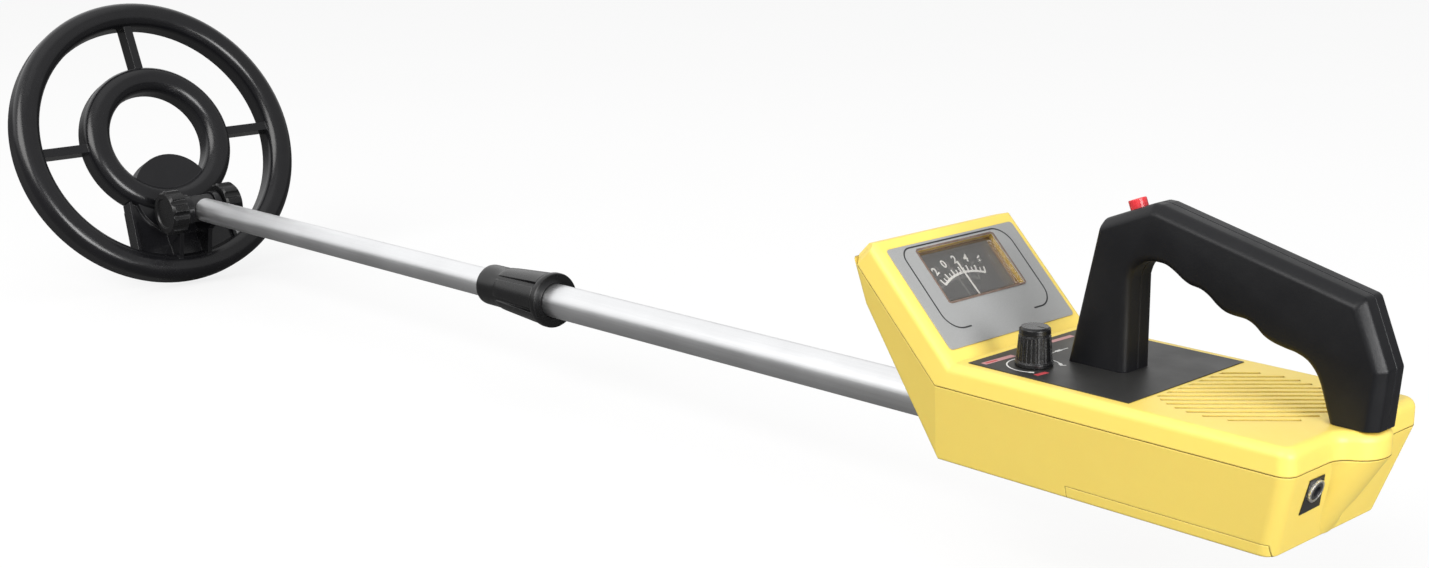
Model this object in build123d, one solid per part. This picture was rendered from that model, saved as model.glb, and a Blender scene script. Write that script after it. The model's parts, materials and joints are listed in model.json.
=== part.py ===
from build123d import *
import os
from math import atan2, cos, degrees, hypot, pi, radians, sin, sqrt

os.makedirs("parts", exist_ok=True)

# Hand-held metal detector: a case with an inclined meter head and a loop handle, a telescopic
# stem running forward, and a tilting search coil. Millimetres, +Z up, +X towards the user,
# +Y to the user's right.
# Working frame: z = 0 is the parting plane of the case, x = 0 the crease between the deck and
# the meter head. On export all is lifted by the case depth, so that the origin lies on the flat
# underside of the case, on the centre plane, straight below the crease.

# ---- shared dimensions ------------------------------------------------------------------------
CASE_HALF_W = 40.0
CASE_SEAM_L = 138.5          # length behind the crease, at the parting plane
CASE_BOTTOM_L = 129.7        # and at the underside
CASE_DEPTH = 30.0
SIDE_DRAFT = 7.4 / 30.0      # inward lean of the lower case sides
HEAD_DRAFT = 0.2102
HEAD_LEN = 56.8              # inclined length of the meter head
DECK_Z = 9.0                 # top of the upper case
FACE_N = 11.0                # meter head thickness above the parting plane
WALL = 2.0
CAVITY_RISE = 5.0            # the cavities run this far past the parting plane
SEAM_GAP = 0.15              # half of the visible gap between the case halves
LABEL_T = 0.3
LABEL_TOP = DECK_Z + LABEL_T
CASE_BOSSES = [(3.0, -26.5), (3.0, 26.5), (48.6, -28.0), (48.6, 28.0)]     # x, y
CLAMP_HOLES = [(12.0, -10.9), (12.0, 10.9), (30.0, -10.9), (30.0, 10.9)]   # x, y
FRONT_FOOT_HOLES = [(41.0, -4.1), (41.0, 4.1)]                             # x, y
REAR_FOOT_HOLES = [(141.0, -4.1), (141.0, 4.1)]
FOOT_HOLES = FRONT_FOOT_HOLES + REAR_FOOT_HOLES
TUBE_R, TUBE_RI = 8.0, 7.1   # 16 mm upper tube
LOWER_R, LOWER_RI = 7.0, 6.1  # 14 mm lower tube
BORE_R = TUBE_R + 0.03

C45 = cos(pi / 4)


# ---- helpers ----------------------------------------------------------------------------------
def block(x0, x1, y0, y1, z0, z1):
    return Pos((x0 + x1) / 2, (y0 + y1) / 2, (z0 + z1) / 2) * Box(x1 - x0, y1 - y0, z1 - z0)


def frame(origin, z_dir, **x_dir):
    return Plane(origin=origin, z_dir=z_dir, **x_dir).location


def along(origin, direction, distance):
    return tuple(o + d * distance for o, d in zip(origin, direction))


def disc(radius, height, z=0.0):
    """Cylinder on the Z axis, standing on z."""
    base = (Align.CENTER, Align.CENTER, Align.MIN)
    return Pos(0, 0, z) * Cylinder(radius, height, align=base)


def bar(origin, direction, radius, length):
    return frame(origin, direction) * disc(radius, length)


def post(x, y, z, radius, height):
    return bar((x, y, z), (0, 0, 1), radius, height)


def cross_bar(x, y, z, radius, length, side=1):
    """Cylinder across the detector, from y towards the right (side 1) or the left (-1)."""
    return bar((x, y, z), (0, side, 0), radius, length)


def tube(origin, direction, outer_r, inner_r, length):
    bore = frame(origin, direction) * disc(inner_r, length + 2, -1)
    return bar(origin, direction, outer_r, length) - bore


def face_xz(points):
    return make_face(Polyline([(x, 0, z) for x, z in points], close=True))


def prism_xz(points, y0, y1):
    return Pos(0, y0, 0) * extrude(face_xz(points), amount=y1 - y0, dir=(0, 1, 0))


def prism_xy(points, z0, z1):
    outline = make_face(Polyline([(x, y, 0) for x, y in points], close=True))
    return Pos(0, 0, z0) * extrude(outline, amount=z1 - z0, dir=(0, 0, 1))


def turned(points):
    """Turns an outline of (radius, z) about the Z axis."""
    return revolve(face_xz(points), axis=Axis.Z)


def trim(shape, origin, normal):
    """Removes what lies on the +normal side of a plane."""
    return shape - frame(origin, normal) * Pos(0, 0, 400) * Box(2400, 2400, 800)


def union(shapes):
    """Fuses shapes one after another."""
    total = shapes[0]
    for shape in shapes[1:]:
        total = total + shape
    return total


def solid_of(shape):
    """Largest solid of a shape."""
    return sorted(shape.solids(), key=lambda solid: solid.volume)[-1]


def inset_polygon(points, distances):
    """Moves each edge of a polygon inward by its own distance."""
    pairs = list(zip(points, points[1:] + points[:1]))
    area = sum(x0 * y1 - x1 * y0 for (x0, y0), (x1, y1) in pairs)
    turn = 1 if area > 0 else -1
    lines = []
    for ((x0, y0), (x1, y1)), distance in zip(pairs, distances):
        dx, dy = x1 - x0, y1 - y0
        length = hypot(dx, dy)
        nx, ny = -dy / length * turn, dx / length * turn
        lines.append((x0 + nx * distance, y0 + ny * distance, dx / length, dy / length))
    corners = []
    for i in range(len(lines)):
        ax, ay, adx, ady = lines[i - 1]
        bx, by, bdx, bdy = lines[i]
        t = ((bx - ax) * bdy - (by - ay) * bdx) / (adx * bdy - ady * bdx)
        corners.append((ax + adx * t, ay + ady * t))
    return corners


def edges_where(shape, test):
    """Edges whose bounding box and centre pass the test."""
    return [e for e in shape.edges() if test(e.bounding_box(), e.center())]


def flat_at(bounds, z, tolerance=0.05):
    return abs(bounds.min.Z - z) < tolerance and abs(bounds.max.Z - z) < tolerance


def rounded(shape, edges, radius):
    """Rounds edges, with a smaller radius where the full one is impossible."""
    for factor in (1.0, 0.8, 0.6, 0.4):
        # the kernel may refuse a radius, or find no edge: try the next, else leave them sharp
        try:
            result = fillet(edges, radius * factor)
            if result.is_valid:
                return solid_of(result)
        except Exception:
            pass
    return shape


def chamfered(shape, edges, size):
    """Chamfers edges, with a smaller size where the full one is impossible."""
    for factor in (1.0, 0.8, 0.6, 0.4):
        # the kernel may refuse a size, or find no edge: try the next, else leave them sharp
        try:
            return solid_of(chamfer(edges, size * factor, size * factor))
        except Exception:
            pass
    return shape


def screw(origin, direction, length, head_r=2.8, head_h=2.3, shank_r=1.45):
    """Cross-slotted screw: the head starts at the origin, the shank follows the direction."""
    place = frame(origin, direction)
    body = place * disc(head_r, head_h) + place * disc(shank_r, length, head_h - 0.2)
    body = body - place * Pos(0, 0, 0.4) * Box(0.7, 3.4, 0.9)
    return solid_of(body - place * Pos(0, 0, 0.4) * Box(3.4, 0.7, 0.9))


def write_piece(name, built):
    """Writes a shape, or a list of shapes, as one STEP file."""
    shapes = built if isinstance(built, list) else [built]
    solids = [solid for shape in shapes for solid in shape.solids()]
    solids = [Pos(0, 0, CASE_DEPTH) * solid for solid in solids if solid.volume > 1e-3]
    piece = solids[0] if len(solids) == 1 else Compound(children=solids)
    export_step(piece, f"parts/{name}.step")


# ---- frames of the meter head, the stem and the rear wall -------------------------------------
# Meter head: local x = s, up the incline; local y = -Y; local z = n, above the parting plane.
HEAD = Plane(origin=(0, 0, 0), x_dir=(-C45, 0, C45), z_dir=(C45, 0, C45)).location


def head_block(s0, s1, y0, y1, n0, n1):
    return HEAD * block(s0, s1, -y1, -y0, n0, n1)


def head_height(point):
    """n of a point."""
    return (point.X + point.Z) * C45


# Stem: local z runs forward along the tubes.
STEM_SLOPE = 0.0119
STEM_ORIGIN = (0.0, 0.0, -20.52)
STEM_DIR = (-1 / sqrt(1 + STEM_SLOPE ** 2), 0, -STEM_SLOPE / sqrt(1 + STEM_SLOPE ** 2))
STEM = Plane(origin=STEM_ORIGIN, x_dir=(0, 1, 0), z_dir=STEM_DIR).location
PIVOT_T = 606.0              # coil pivot, distance along the stem
PIVOT = along(STEM_ORIGIN, STEM_DIR, PIVOT_T)
PIVOT_X, _, PIVOT_Z = PIVOT


def stem_bore():
    return bar(along(STEM_ORIGIN, STEM_DIR, -60), STEM_DIR, BORE_R, 140)


# Rear wall: it leans forward towards its foot.
REAR_OVERHANG = CASE_SEAM_L - CASE_BOTTOM_L
REAR_SLANT = hypot(CASE_DEPTH, REAR_OVERHANG)
REAR_NORMAL = (CASE_DEPTH / REAR_SLANT, 0, -REAR_OVERHANG / REAR_SLANT)
REAR_UP = (-REAR_NORMAL[2], 0, REAR_NORMAL[0])
JACK = (136.1, -20.9, -8.3)
JACK_HOLE_R = 3.05


def jack_point(out, dy=0.0, up=0.0):
    """Point at a distance outside the rear wall, shifted across it and up it."""
    return (JACK[0] + REAR_NORMAL[0] * out + REAR_UP[0] * up, JACK[1] + dy,
            JACK[2] + REAR_NORMAL[2] * out + REAR_UP[2] * up)


# ---- case forms -------------------------------------------------------------------------------
# Half-round boss at the rear of both case halves
BULGE_X, BULGE_R = 136.5, 12.0
BULGE_LEAN = 0.62            # leans more than the wall, so that it fades out at the foot
BULGE_DEPTH = 29.3

# Side profiles, x and z.
# Lower edges: seam, rear wall, underside, sloping front, nose, inclined seam
LOWER_PROFILE = [
    (0, 0), (CASE_SEAM_L, 0), (CASE_BOTTOM_L, -CASE_DEPTH), (-5.2, -CASE_DEPTH),
    (-36.5, 22.8), (-HEAD_LEN * C45, HEAD_LEN * C45),
]
DECK_FACE_S = DECK_Z / C45 - FACE_N      # where the deck meets the face of the meter head
FACE_END_S, NOSE_N = 54.3, 7.0           # ends of the bevel between face and nose
# Upper edges: seam, rear, deck, face, nose bevel, nose, inclined seam
UPPER_PROFILE = [
    (0, 0), (CASE_SEAM_L, 0), (CASE_SEAM_L, DECK_Z),
    (C45 * (FACE_N - DECK_FACE_S), DECK_Z),
    (C45 * (FACE_N - FACE_END_S), C45 * (FACE_N + FACE_END_S)),
    (C45 * (NOSE_N - HEAD_LEN), C45 * (NOSE_N + HEAD_LEN)),
    (-HEAD_LEN * C45, HEAD_LEN * C45),
]


def lower_block(inset, rise):
    """Sharp lower form, moved inward by inset and carried up past the seam by rise."""
    body = prism_xz(inset_polygon(LOWER_PROFILE, [-rise] + [inset] * 4 + [-rise]), -60, 60)
    side_y = CASE_HALF_W - inset * sqrt(1 + SIDE_DRAFT ** 2)
    head_y = CASE_HALF_W - inset * sqrt(1 + 2 * HEAD_DRAFT ** 2)
    for side in (-1, 1):
        body = trim(body, (0, side * side_y, 0), (0, side, -SIDE_DRAFT))
        body = trim(body, (0, side * head_y, 0), (-HEAD_DRAFT, side, -HEAD_DRAFT))
    return solid_of(body)


def plan_outline():
    """Outline of the case from above, with the half-round boss."""
    outline = Pos(CASE_SEAM_L / 2 - 50, 0) * Rectangle(CASE_SEAM_L + 100, 2 * CASE_HALF_W)
    outline = outline + Pos(BULGE_X, 0) * Circle(BULGE_R)
    rear = [v for v in outline.vertices() if v.X > CASE_SEAM_L - 1]
    outline = fillet([v for v in rear if abs(v.Y) > 30], 5.0)
    roots = [v for v in outline.vertices() if abs(v.X - CASE_SEAM_L) < 0.3 and abs(v.Y) < 20]
    return fillet(roots, 8.0)


def upper_block(inset, drop):
    """Sharp upper form, moved inward by inset and carried down past the seam by drop."""
    # the outer form runs past the rear, and the plan outline cuts it to shape
    rear = -40.0 if inset == 0 else inset
    profile = inset_polygon(UPPER_PROFILE, [-drop, rear] + [inset] * 4 + [-drop])
    body = prism_xz(profile, -(CASE_HALF_W - inset), CASE_HALF_W - inset)
    if inset == 0:
        body = body & Pos(0, 0, -20) * extrude(plan_outline(), amount=120, dir=(0, 0, 1))
    return solid_of(body)


def lower_outer_form():
    body = lower_block(0, -SEAM_GAP)
    rear_corners = edges_where(
        body, lambda b, c: b.min.X > CASE_BOTTOM_L - 1 and abs(b.size.Z) > 20)
    body = rounded(body, rear_corners, 5.0)
    front_corners = edges_where(
        body, lambda b, c: b.max.X < -4 and b.size.Y < 12 and b.size.Z > 15 and abs(c.Y) > 30)
    body = rounded(body, front_corners, 3.0)
    body = rounded(body, edges_where(body, lambda b, c: flat_at(b, -CASE_DEPTH)), 1.2)

    bulge = extrude(Pos(0, 0, -SEAM_GAP) * plan_outline(),
                    amount=hypot(1, BULGE_LEAN) * BULGE_DEPTH, dir=(-BULGE_LEAN, 0, -1))
    bulge = bulge & block(126, 160, -24, 24, -BULGE_DEPTH, -SEAM_GAP)
    body = solid_of(body + bulge)
    bulge_roots = edges_where(
        body, lambda b, c: b.min.X > 128 and abs(c.Y) < 14 and not flat_at(b, -SEAM_GAP)
        and not flat_at(b, -CASE_DEPTH, 1.5) and b.max.X < BULGE_X + BULGE_R + 1)
    return rounded(body, bulge_roots, 2.0)


def upper_outer_form():
    body = upper_block(0, -SEAM_GAP)
    nose_corners = edges_where(
        body, lambda b, c: b.max.X < -30 and b.size.Y < 0.1 and b.size.X < 6 and b.size.Z > 2)
    body = chamfered(body, nose_corners, 4.0)
    # round the deck, but not its crease with the meter head, and both sides of the face
    deck_edges = edges_where(
        body, lambda b, c: flat_at(b, DECK_Z) and not (b.size.Y > 79 and b.max.X < 10))
    face_edges = edges_where(
        body, lambda b, c: abs(head_height(c) - FACE_N) < 0.05 and (c.Z - c.X) * C45 > 3
        and b.size.X > 3 and abs(abs(c.Y) - CASE_HALF_W) < 0.2)
    return rounded(body, deck_edges + face_edges, 3.4)


LOWER_OUTER = lower_outer_form()
LOWER_CAVITY = lower_block(WALL, CAVITY_RISE)

# ---- lower case and battery door --------------------------------------------------------------
DOOR_X0, DOOR_X1 = 52.5, 128.8
DOOR_UP = 4.5                # the door takes the foot of both sides up to this height
DOOR_GAP = 0.12
DIMPLE_R, DIMPLE_OUT, DIMPLE_Y = 6.4, 5.5, 5.5
BAY_WALLS = [(58.5, -24.2), (114.0, -25.0)]      # x of the front face, z of the foot


def door_zone(gap):
    return block(DOOR_X0 - gap, DOOR_X1 + gap, -50, 50, -40, -CASE_DEPTH + DOOR_UP + gap)


def lower_housing():
    case = solid_of(LOWER_OUTER - LOWER_CAVITY)
    # stem seat: collar inside the sloping front, saddle behind it, bore through both
    saddle = block(2, 40, -13, 13, -29.0, -21.2)
    collar = bar(along(STEM_ORIGIN, STEM_DIR, 3.5), STEM_DIR, 10.5, 8.0) & lower_block(0.5, 0)
    case = solid_of(case + saddle + collar)
    case = solid_of(case - stem_bore())
    for x, y in CLAMP_HOLES:
        case = case - post(x, y, -27.0, 1.1, 8)
    for x, y in CASE_BOSSES:
        case = case + (post(x, y, -29.0, 3.6, 28.6) & lower_block(0.4, 0))
    for x, y in CASE_BOSSES:
        case = case - post(x, y, -31, 3.05, 6.0) - post(x, y, -31, 1.6, 40)
    # shallow round dimple at the foot of the half-round boss
    dimple = along((132.4, DIMPLE_Y, -20.7), REAR_NORMAL, DIMPLE_OUT)
    case = case - Pos(*dimple) * Sphere(DIMPLE_R)
    case = case - bar(jack_point(-6), REAR_NORMAL, JACK_HOLE_R, 10)
    case = solid_of(case - door_zone(DOOR_GAP))
    for x, foot in BAY_WALLS:
        case = case + (block(x, x + 1.5, -37, 37, foot, -9.5) & lower_block(1.0, 0))
    return solid_of(case - stem_bore())


def battery_door():
    door = solid_of((LOWER_OUTER - LOWER_CAVITY) & door_zone(0))
    for x in (70.0, 90.0, 110.0):        # ribs on the inner face
        door = door + block(x - 0.6, x + 0.6, -26, 26, -28.2, -27.98)
    # snap tongue at the rear
    door = door + block(DOOR_X1 - 3.0, DOOR_X1 - 1.4, -9, 9, -28.5, -24.2)
    for i in range(4):                   # thumb grooves outside
        x = DOOR_X1 - 9.0 - 2.2 * i
        door = door - block(x, x + 1.0, -9, 9, -30.5, -29.6)
    return solid_of(door)


# ---- upper case and labels --------------------------------------------------------------------
WINDOW_S0, WINDOW_S1, WINDOW_Y = 24.4, 47.2, 21.3
KNOB_X, KNOB_Y = 28.0, -20.5
GRILLE_X, GRILLE_R, GRILLE_PITCH, GRILLE_W = 98.0, 28.5, 4.35, 1.7
GRILLE_FRONT_X = 78.0        # the slots are cut off straight here


def window_opening():
    return head_block(WINDOW_S0, WINDOW_S1, -WINDOW_Y, WINDOW_Y, 5, 13)


def knob_post(z, radius, height):
    return post(KNOB_X, KNOB_Y, z, radius, height)


def knob_opening():
    return knob_post(3, 3.05, 10)


def wire_opening():
    """Passage for the wires from the push button."""
    return post(50.5, 0, 3, 2.6, 10)


def grille_slots():
    """Diagonal slots that fill a circle, cut off straight at the front."""
    slots = []
    for i in range(-6, 7):
        shift = i * GRILLE_PITCH * C45
        length = 2 * sqrt(GRILLE_R ** 2 - (i * GRILLE_PITCH) ** 2)
        place = Location((GRILLE_X + shift, -shift, DECK_Z - 1.0), (0, 0, 45))
        slots.append(place * Box(length, GRILLE_W, 6))
    return union(slots) & block(GRILLE_FRONT_X, 200, -60, 60, -5, 20)


def upper_housing():
    outer = upper_outer_form()
    case = solid_of(outer - upper_block(WALL, CAVITY_RISE))
    # solid filling of the half-round boss
    filling = post(BULGE_X, 0, SEAM_GAP, 10.0, 7.5) & outer & block(130, 160, -20, 20, -1, 9)
    case = case + filling
    case = case - window_opening()
    case = case - grille_slots()
    case = case - knob_opening()
    for x, y in CASE_BOSSES:
        case = case + (tube((x, y, SEAM_GAP), (0, 0, 1), 3.4, 1.5, 8.0) & outer)
    for x, y in FOOT_HOLES:
        case = case - post(x, y, -3, 1.6, 20)
    for x, y in REAR_FOOT_HOLES:         # sunk from below for the screw heads
        case = case - post(x, y, -3, 3.2, 9.0)
    return solid_of(case - wire_opening())


def meter_panel():
    panel = head_block(6.6, 50.3, -35.4, 35.4, FACE_N + 0.01, FACE_N + LABEL_T)
    corners = [e for e in panel.edges() if e.bounding_box().size.Y < 0.01 and e.length < 1]
    return rounded(panel, corners, 1.5) - window_opening()


def control_panel():
    panel = block(10.1, 76.5, -34.1, 34.1, DECK_Z + 0.01, LABEL_TOP)
    panel = panel - knob_opening() - wire_opening()
    for x, y in FRONT_FOOT_HOLES:
        panel = panel - post(x, y, 3, 1.6, 10)
    return panel


# ---- meter ------------------------------------------------------------------------------------
NEEDLE_S = 9.0               # needle pivot along the meter head
NEEDLE_ANGLE = 2.6           # degrees left of the centre line
DIAL_GAP, PANE_GAP = 0.1, 0.12
PANE_TOP = FACE_N + 0.15


def needle_disc(radius, height, n):
    """Cylinder on the needle's axis."""
    return HEAD * Pos(NEEDLE_S, 0, 0) * disc(radius, height, n)


def meter_case():
    body = head_block(22.7, 48.7, -23.0, 23.0, 0.5, 8.9)
    body = body + head_block(-0.5, 24.0, -17.5, 17.5, 0.5, 8.9)
    body = body - head_block(WINDOW_S0, WINDOW_S1, -WINDOW_Y, WINDOW_Y, 6.38, 12)
    body = body - head_block(NEEDLE_S, WINDOW_S0 + 1, -15.5, 15.5, 7.4, 12)
    return solid_of(body - needle_disc(8.2, 12, 2.0))


def meter_movement():
    return needle_disc(8.0, 4.9, 2.02) - needle_disc(0.65, 9, 4.0)


def meter_dial():
    half_w = WINDOW_Y - DIAL_GAP
    return head_block(WINDOW_S0 + DIAL_GAP, WINDOW_S1 - DIAL_GAP, -half_w, half_w, 6.4, 7.0)


def meter_needle():
    place = HEAD * Pos(NEEDLE_S, 0, 0) * Rot(0, 0, NEEDLE_ANGLE)
    needle = place * block(-4.5, 31.9, -0.28, 0.28, 8.0, 8.35)
    needle = needle + place * block(-6.0, -4.0, -1.3, 1.3, 7.9, 8.45)    # tail weight
    return solid_of(needle + needle_disc(2.2, 0.9, 7.6) + needle_disc(0.6, 3.6, 4.3))


def meter_window():
    s0, s1, half_w = WINDOW_S0 + PANE_GAP, WINDOW_S1 - PANE_GAP, WINDOW_Y - PANE_GAP
    pane = head_block(s0, s1, -half_w, half_w, 9.2, PANE_TOP)
    # ribs below both long sides
    pane = pane + head_block(s0, WINDOW_S0 + 1.1, -half_w, half_w, 8.95, 9.3)
    pane = pane + head_block(WINDOW_S1 - 1.1, s1, -half_w, half_w, 8.95, 9.3)
    top = [e for e in pane.edges()
           if e.length > 10 and abs(head_height(e.center()) - PANE_TOP) < 0.02]
    return solid_of(rounded(pane, top, 0.5))


# ---- tuning control ---------------------------------------------------------------------------
KNOB_R0, KNOB_R1, KNOB_H = 6.3, 5.5, 13.6        # foot radius, top radius, height
KNOB_Z = LABEL_TOP + 0.35
# radius, height above the foot of the knob
KNOB_PROFILE = [
    (0, 0), (KNOB_R0 + 0.35, 0), (KNOB_R0 + 0.35, 1.2), (KNOB_R0, 1.6),
    (KNOB_R1 + 0.12, KNOB_H - 3.2), (KNOB_R1 - 0.35, KNOB_H - 3.0),
    (KNOB_R1 - 0.35, KNOB_H - 2.6), (KNOB_R1 + 0.05, KNOB_H - 2.4),
    (KNOB_R1 - 0.05, KNOB_H - 0.7), (KNOB_R1 - 0.75, KNOB_H), (0, KNOB_H),
]
KNOB_FLUTES = 24


def potentiometer():
    body = knob_post(-3.0, 8.0, 8.0)
    body = body + block(KNOB_X - 8, KNOB_X + 8, KNOB_Y + 4, KNOB_Y + 11, -3, -1.4)
    body = body + knob_post(4.9, 3.0, 6.3)
    return solid_of(body - knob_post(0.4, 1.55, 20))


def potentiometer_nut():
    hexagon = Pos(KNOB_X, KNOB_Y, LABEL_TOP + 0.02) * extrude(RegularPolygon(4.3, 6), 1.4)
    return hexagon - knob_post(3, 3.03, 10)


def tuning_shaft():
    flat = block(KNOB_X + 1.0, KNOB_X + 3, KNOB_Y - 3, KNOB_Y + 3, 13.5, 21)
    return solid_of(knob_post(0.6, 1.5, 19.5) - flat)


def tuning_knob():
    knob = Pos(KNOB_X, KNOB_Y, KNOB_Z) * turned(KNOB_PROFILE)
    lean = degrees(atan2(KNOB_R0 - KNOB_R1, KNOB_H - 3.2))
    flute = Pos(KNOB_R0 + 0.12, 0, 0) * Rot(0, -lean, 0) * disc(0.42, KNOB_H - 5.0)
    for i in range(1, KNOB_FLUTES):      # no flute below the pointer groove
        turn = Rot(0, 0, 360 * i / KNOB_FLUTES)
        knob = knob - Pos(KNOB_X, KNOB_Y, KNOB_Z + 1.7) * turn * flute
    knob = knob - knob_post(KNOB_Z - 1, 4.75, 3.0)       # room for the nut
    flat = block(KNOB_X + 1.02, KNOB_X + 3, KNOB_Y - 3, KNOB_Y + 3, 13.7, 40)
    knob = knob - (knob_post(KNOB_Z - 1, 1.52, KNOB_H - 1.6) - flat)
    top = KNOB_Z + KNOB_H
    pointer = block(KNOB_X + 1.2, KNOB_X + 7, KNOB_Y - 0.3, KNOB_Y + 0.3, top - 0.35, top + 1)
    return solid_of(knob - pointer)


# ---- handle -----------------------------------------------------------------------------------
HANDLE_HALF = 8.0
HANDLE_GAP = 0.05            # from the centre plane to each half
FOOT_Z = DECK_Z + 0.02
FRONT_FOOT_Z = LABEL_TOP + 0.02          # the front foot stands on the control label
# Outlines of the loop, x and z. Outside, from the front foot over the top to the rear foot:
HANDLE_OUT = [
    (32.6, FRONT_FOOT_Z), (43.9, 61.0), (63.4, 68.95), (66.4, 68.8), (140.4, 50.2),
    (149.4, 28.6), (147.9, FOOT_Z),
]
REAR_FOOT_IN = (131.7, FOOT_Z)
# inside, forward along the finger grip
GRIP = [
    (127.9, 20.2), (122.9, 27.0), (119.0, 28.7), (115.2, 29.4), (110.5, 30.5), (107.3, 31.9),
    (103.6, 34.8), (100.8, 36.15), (96.0, 36.6), (92.7, 37.3), (89.8, 38.9), (86.8, 41.3),
    (83.9, 42.9), (79.3, 43.9), (76.3, 45.3), (73.3, 47.3), (69.9, 49.0), (66.9, 49.4),
]
ARCH = [(66.9, 49.4), (60.6, 48.4), (56.1, 42.0)]
FRONT_FOOT_IN = (56.3, FRONT_FOOT_Z)
# coarser inside outline that bounds the hollow
HOLLOW_IN = [
    REAR_FOOT_IN, (127.9, 20.2), (119.6, 29.0), (108.5, 31.6), (101.0, 36.4), (92.5, 37.6),
    (84.0, 43.1), (76.5, 45.3), (69.9, 49.2), (62.0, 49.2), (57.3, 46.0), (56.1, 42.0),
    FRONT_FOOT_IN,
]
HANDLE_WALL, HANDLE_SIDE_WALL = 2.8, 2.4
CHAMFER = 3.0                # along the outside of the loop
CHAMFER_FRONT = 1.2          # on the front of the front leg
HANDLE_JOINS = [(47.0, 30.0), (104.5, 47.5)]     # x, z of the screws across the handle

# push button: place on the handle and outward travel axis
BUTTON = (54.4, 0, 65.4)
BUTTON_R = 3.15
BUTTON_TILT = radians(22.2)
BUTTON_DIR = (-sin(BUTTON_TILT), 0, cos(BUTTON_TILT))


def button_point(out):
    return along(BUTTON, BUTTON_DIR, out)


def button_bar(out, radius, length):
    return bar(button_point(out), BUTTON_DIR, radius, length)


def handle_face():
    def points(outline):
        return [(x, 0, z) for x, z in outline]

    return make_face([
        Polyline(points(HANDLE_OUT)),
        Line(points([HANDLE_OUT[-1], REAR_FOOT_IN])),
        Line(points([REAR_FOOT_IN, GRIP[0]])),
        Spline(points(GRIP), tangents=[(-2.0, 0, 5.0), (-5.0, 0, 0.4)]),
        Spline(points(ARCH), tangents=[(-6.0, 0, 0.5), (0, 0, -6)]),
        Line(points([ARCH[-1], FRONT_FOOT_IN])),
        Line(points([FRONT_FOOT_IN, HANDLE_OUT[0]])),
    ])


def solid_handle(side):
    """One half of the loop without its hollow, chamfered along the outside."""
    body = extrude(handle_face(), amount=HANDLE_HALF - HANDLE_GAP, dir=(0, side, 0))
    body = Pos(0, side * HANDLE_GAP, 0) * body
    for i, ((x0, z0), (x1, z1)) in enumerate(zip(HANDLE_OUT, HANDLE_OUT[1:])):
        size = CHAMFER if i else CHAMFER_FRONT
        length = hypot(x1 - x0, z1 - z0)
        nx, nz = -(z1 - z0) / length, (x1 - x0) / length
        origin = (x0 - nx * size, side * HANDLE_HALF, z0 - nz * size)
        body = trim(body, origin, (nx, side, nz))
    return solid_of(body)


def handle(side):
    """Hollow half of the handle: side -1 is the left, 1 the right."""
    full = solid_handle(side)
    outline = HANDLE_OUT + HOLLOW_IN
    hollow = inset_polygon(outline, [HANDLE_WALL] * len(outline))
    depth = HANDLE_HALF - HANDLE_SIDE_WALL
    y0, y1 = (0, depth) if side > 0 else (-depth, 0)
    half = solid_of(full - prism_xz(hollow, y0, y1))
    # solid bosses in the feet, with pilot holes for the screws from below
    for x, y in FOOT_HOLES:
        if y * side > 0:
            half = half + (post(x, y, FOOT_Z, 3.3, 11.5) & full)
            half = half - post(x, y, FOOT_Z - 1, 1.5, 10.5)
    # joining bosses: blind holes on the left, through holes with sunk heads on the right
    for x, z in HANDLE_JOINS:
        half = half + (cross_bar(x, side * HANDLE_GAP, z, 3.4, 10.0, side) & full)
        if side < 0:
            half = half - cross_bar(x, 0.1, z, 1.3, 5.8, side)
        else:
            half = half - cross_bar(x, -0.1, z, 1.4, 14)
            half = half - cross_bar(x, HANDLE_HALF - 2.6, z, 2.6, 5)
    # push button pocket and bore
    half = half - button_bar(-13.6, 4.3, 11.4) - button_bar(-4.0, BUTTON_R + 0.06, 10)
    return solid_of(half)


def handle_screws():
    screws = []
    for x, z in HANDLE_JOINS:
        body = cross_bar(x, HANDLE_HALF - 2.55, z, 2.4, 1.5) + cross_bar(x, -5.2, z, 1.22, 11.0)
        slot = block(x - 1.6, x + 1.6, HANDLE_HALF - 1.5, 13, z - 0.3, z + 0.3)
        screws.append(solid_of(body - slot))
    return screws


def push_button():
    top = 3.2
    button = button_bar(-2.5, BUTTON_R, 5.7) + button_bar(-3.75, 4.0, 1.4)
    button = solid_of(button + button_bar(-5.45, 1.4, 2.0))
    centre, axis = Vector(*button_point(top)), Vector(*BUTTON_DIR)
    rim = [e for e in button.edges() if abs(((e @ 0.0) - centre).dot(axis)) < 0.05]
    return rounded(button, rim, 0.35)


def button_switch():
    place = frame(button_point(-13.15), BUTTON_DIR, x_dir=(0, 1, 0))
    return place * Pos(0, 0, 2.2) * Box(5.6, 5.6, 4.4)


def button_spring():
    """The spring as a plain sleeve."""
    return solid_of(tube(button_point(-8.65), BUTTON_DIR, 3.3, 2.6, 4.8))


# ---- speaker ----------------------------------------------------------------------------------
SPEAKER = Pos(GRILLE_X, 0, 0)
# radius, z
FRAME_PROFILE = [
    (26.0, 6.9), (28.5, 6.9), (28.5, 5.4), (25.5, 5.2), (14.0, -2.6), (11.0, -2.6),
    (11.0, -1.6), (13.6, -1.6), (24.6, 5.6), (26.0, 6.2),
]
CONE_PROFILE = [
    (0, 1.9), (4.0, 1.4), (7.0, -0.6), (24.3, 6.2), (25.9, 6.3), (25.9, 6.6),
    (24.2, 6.6), (7.0, 0.0), (4.2, 2.0), (0, 2.5),
]


def speaker_frame():
    basket = SPEAKER * turned(FRAME_PROFILE)
    for i in range(4):
        basket = basket - SPEAKER * Rot(0, 0, 45 + 90 * i) * Pos(19.5, 0, 1.5) * Box(6, 9, 8)
    return solid_of(basket)


def speaker_magnet():
    return solid_of(SPEAKER * disc(12.5, 5.0, -7.8) + SPEAKER * disc(5.0, 1.0, -2.85))


def speaker_cone():
    return solid_of(SPEAKER * turned(CONE_PROFILE))


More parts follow.
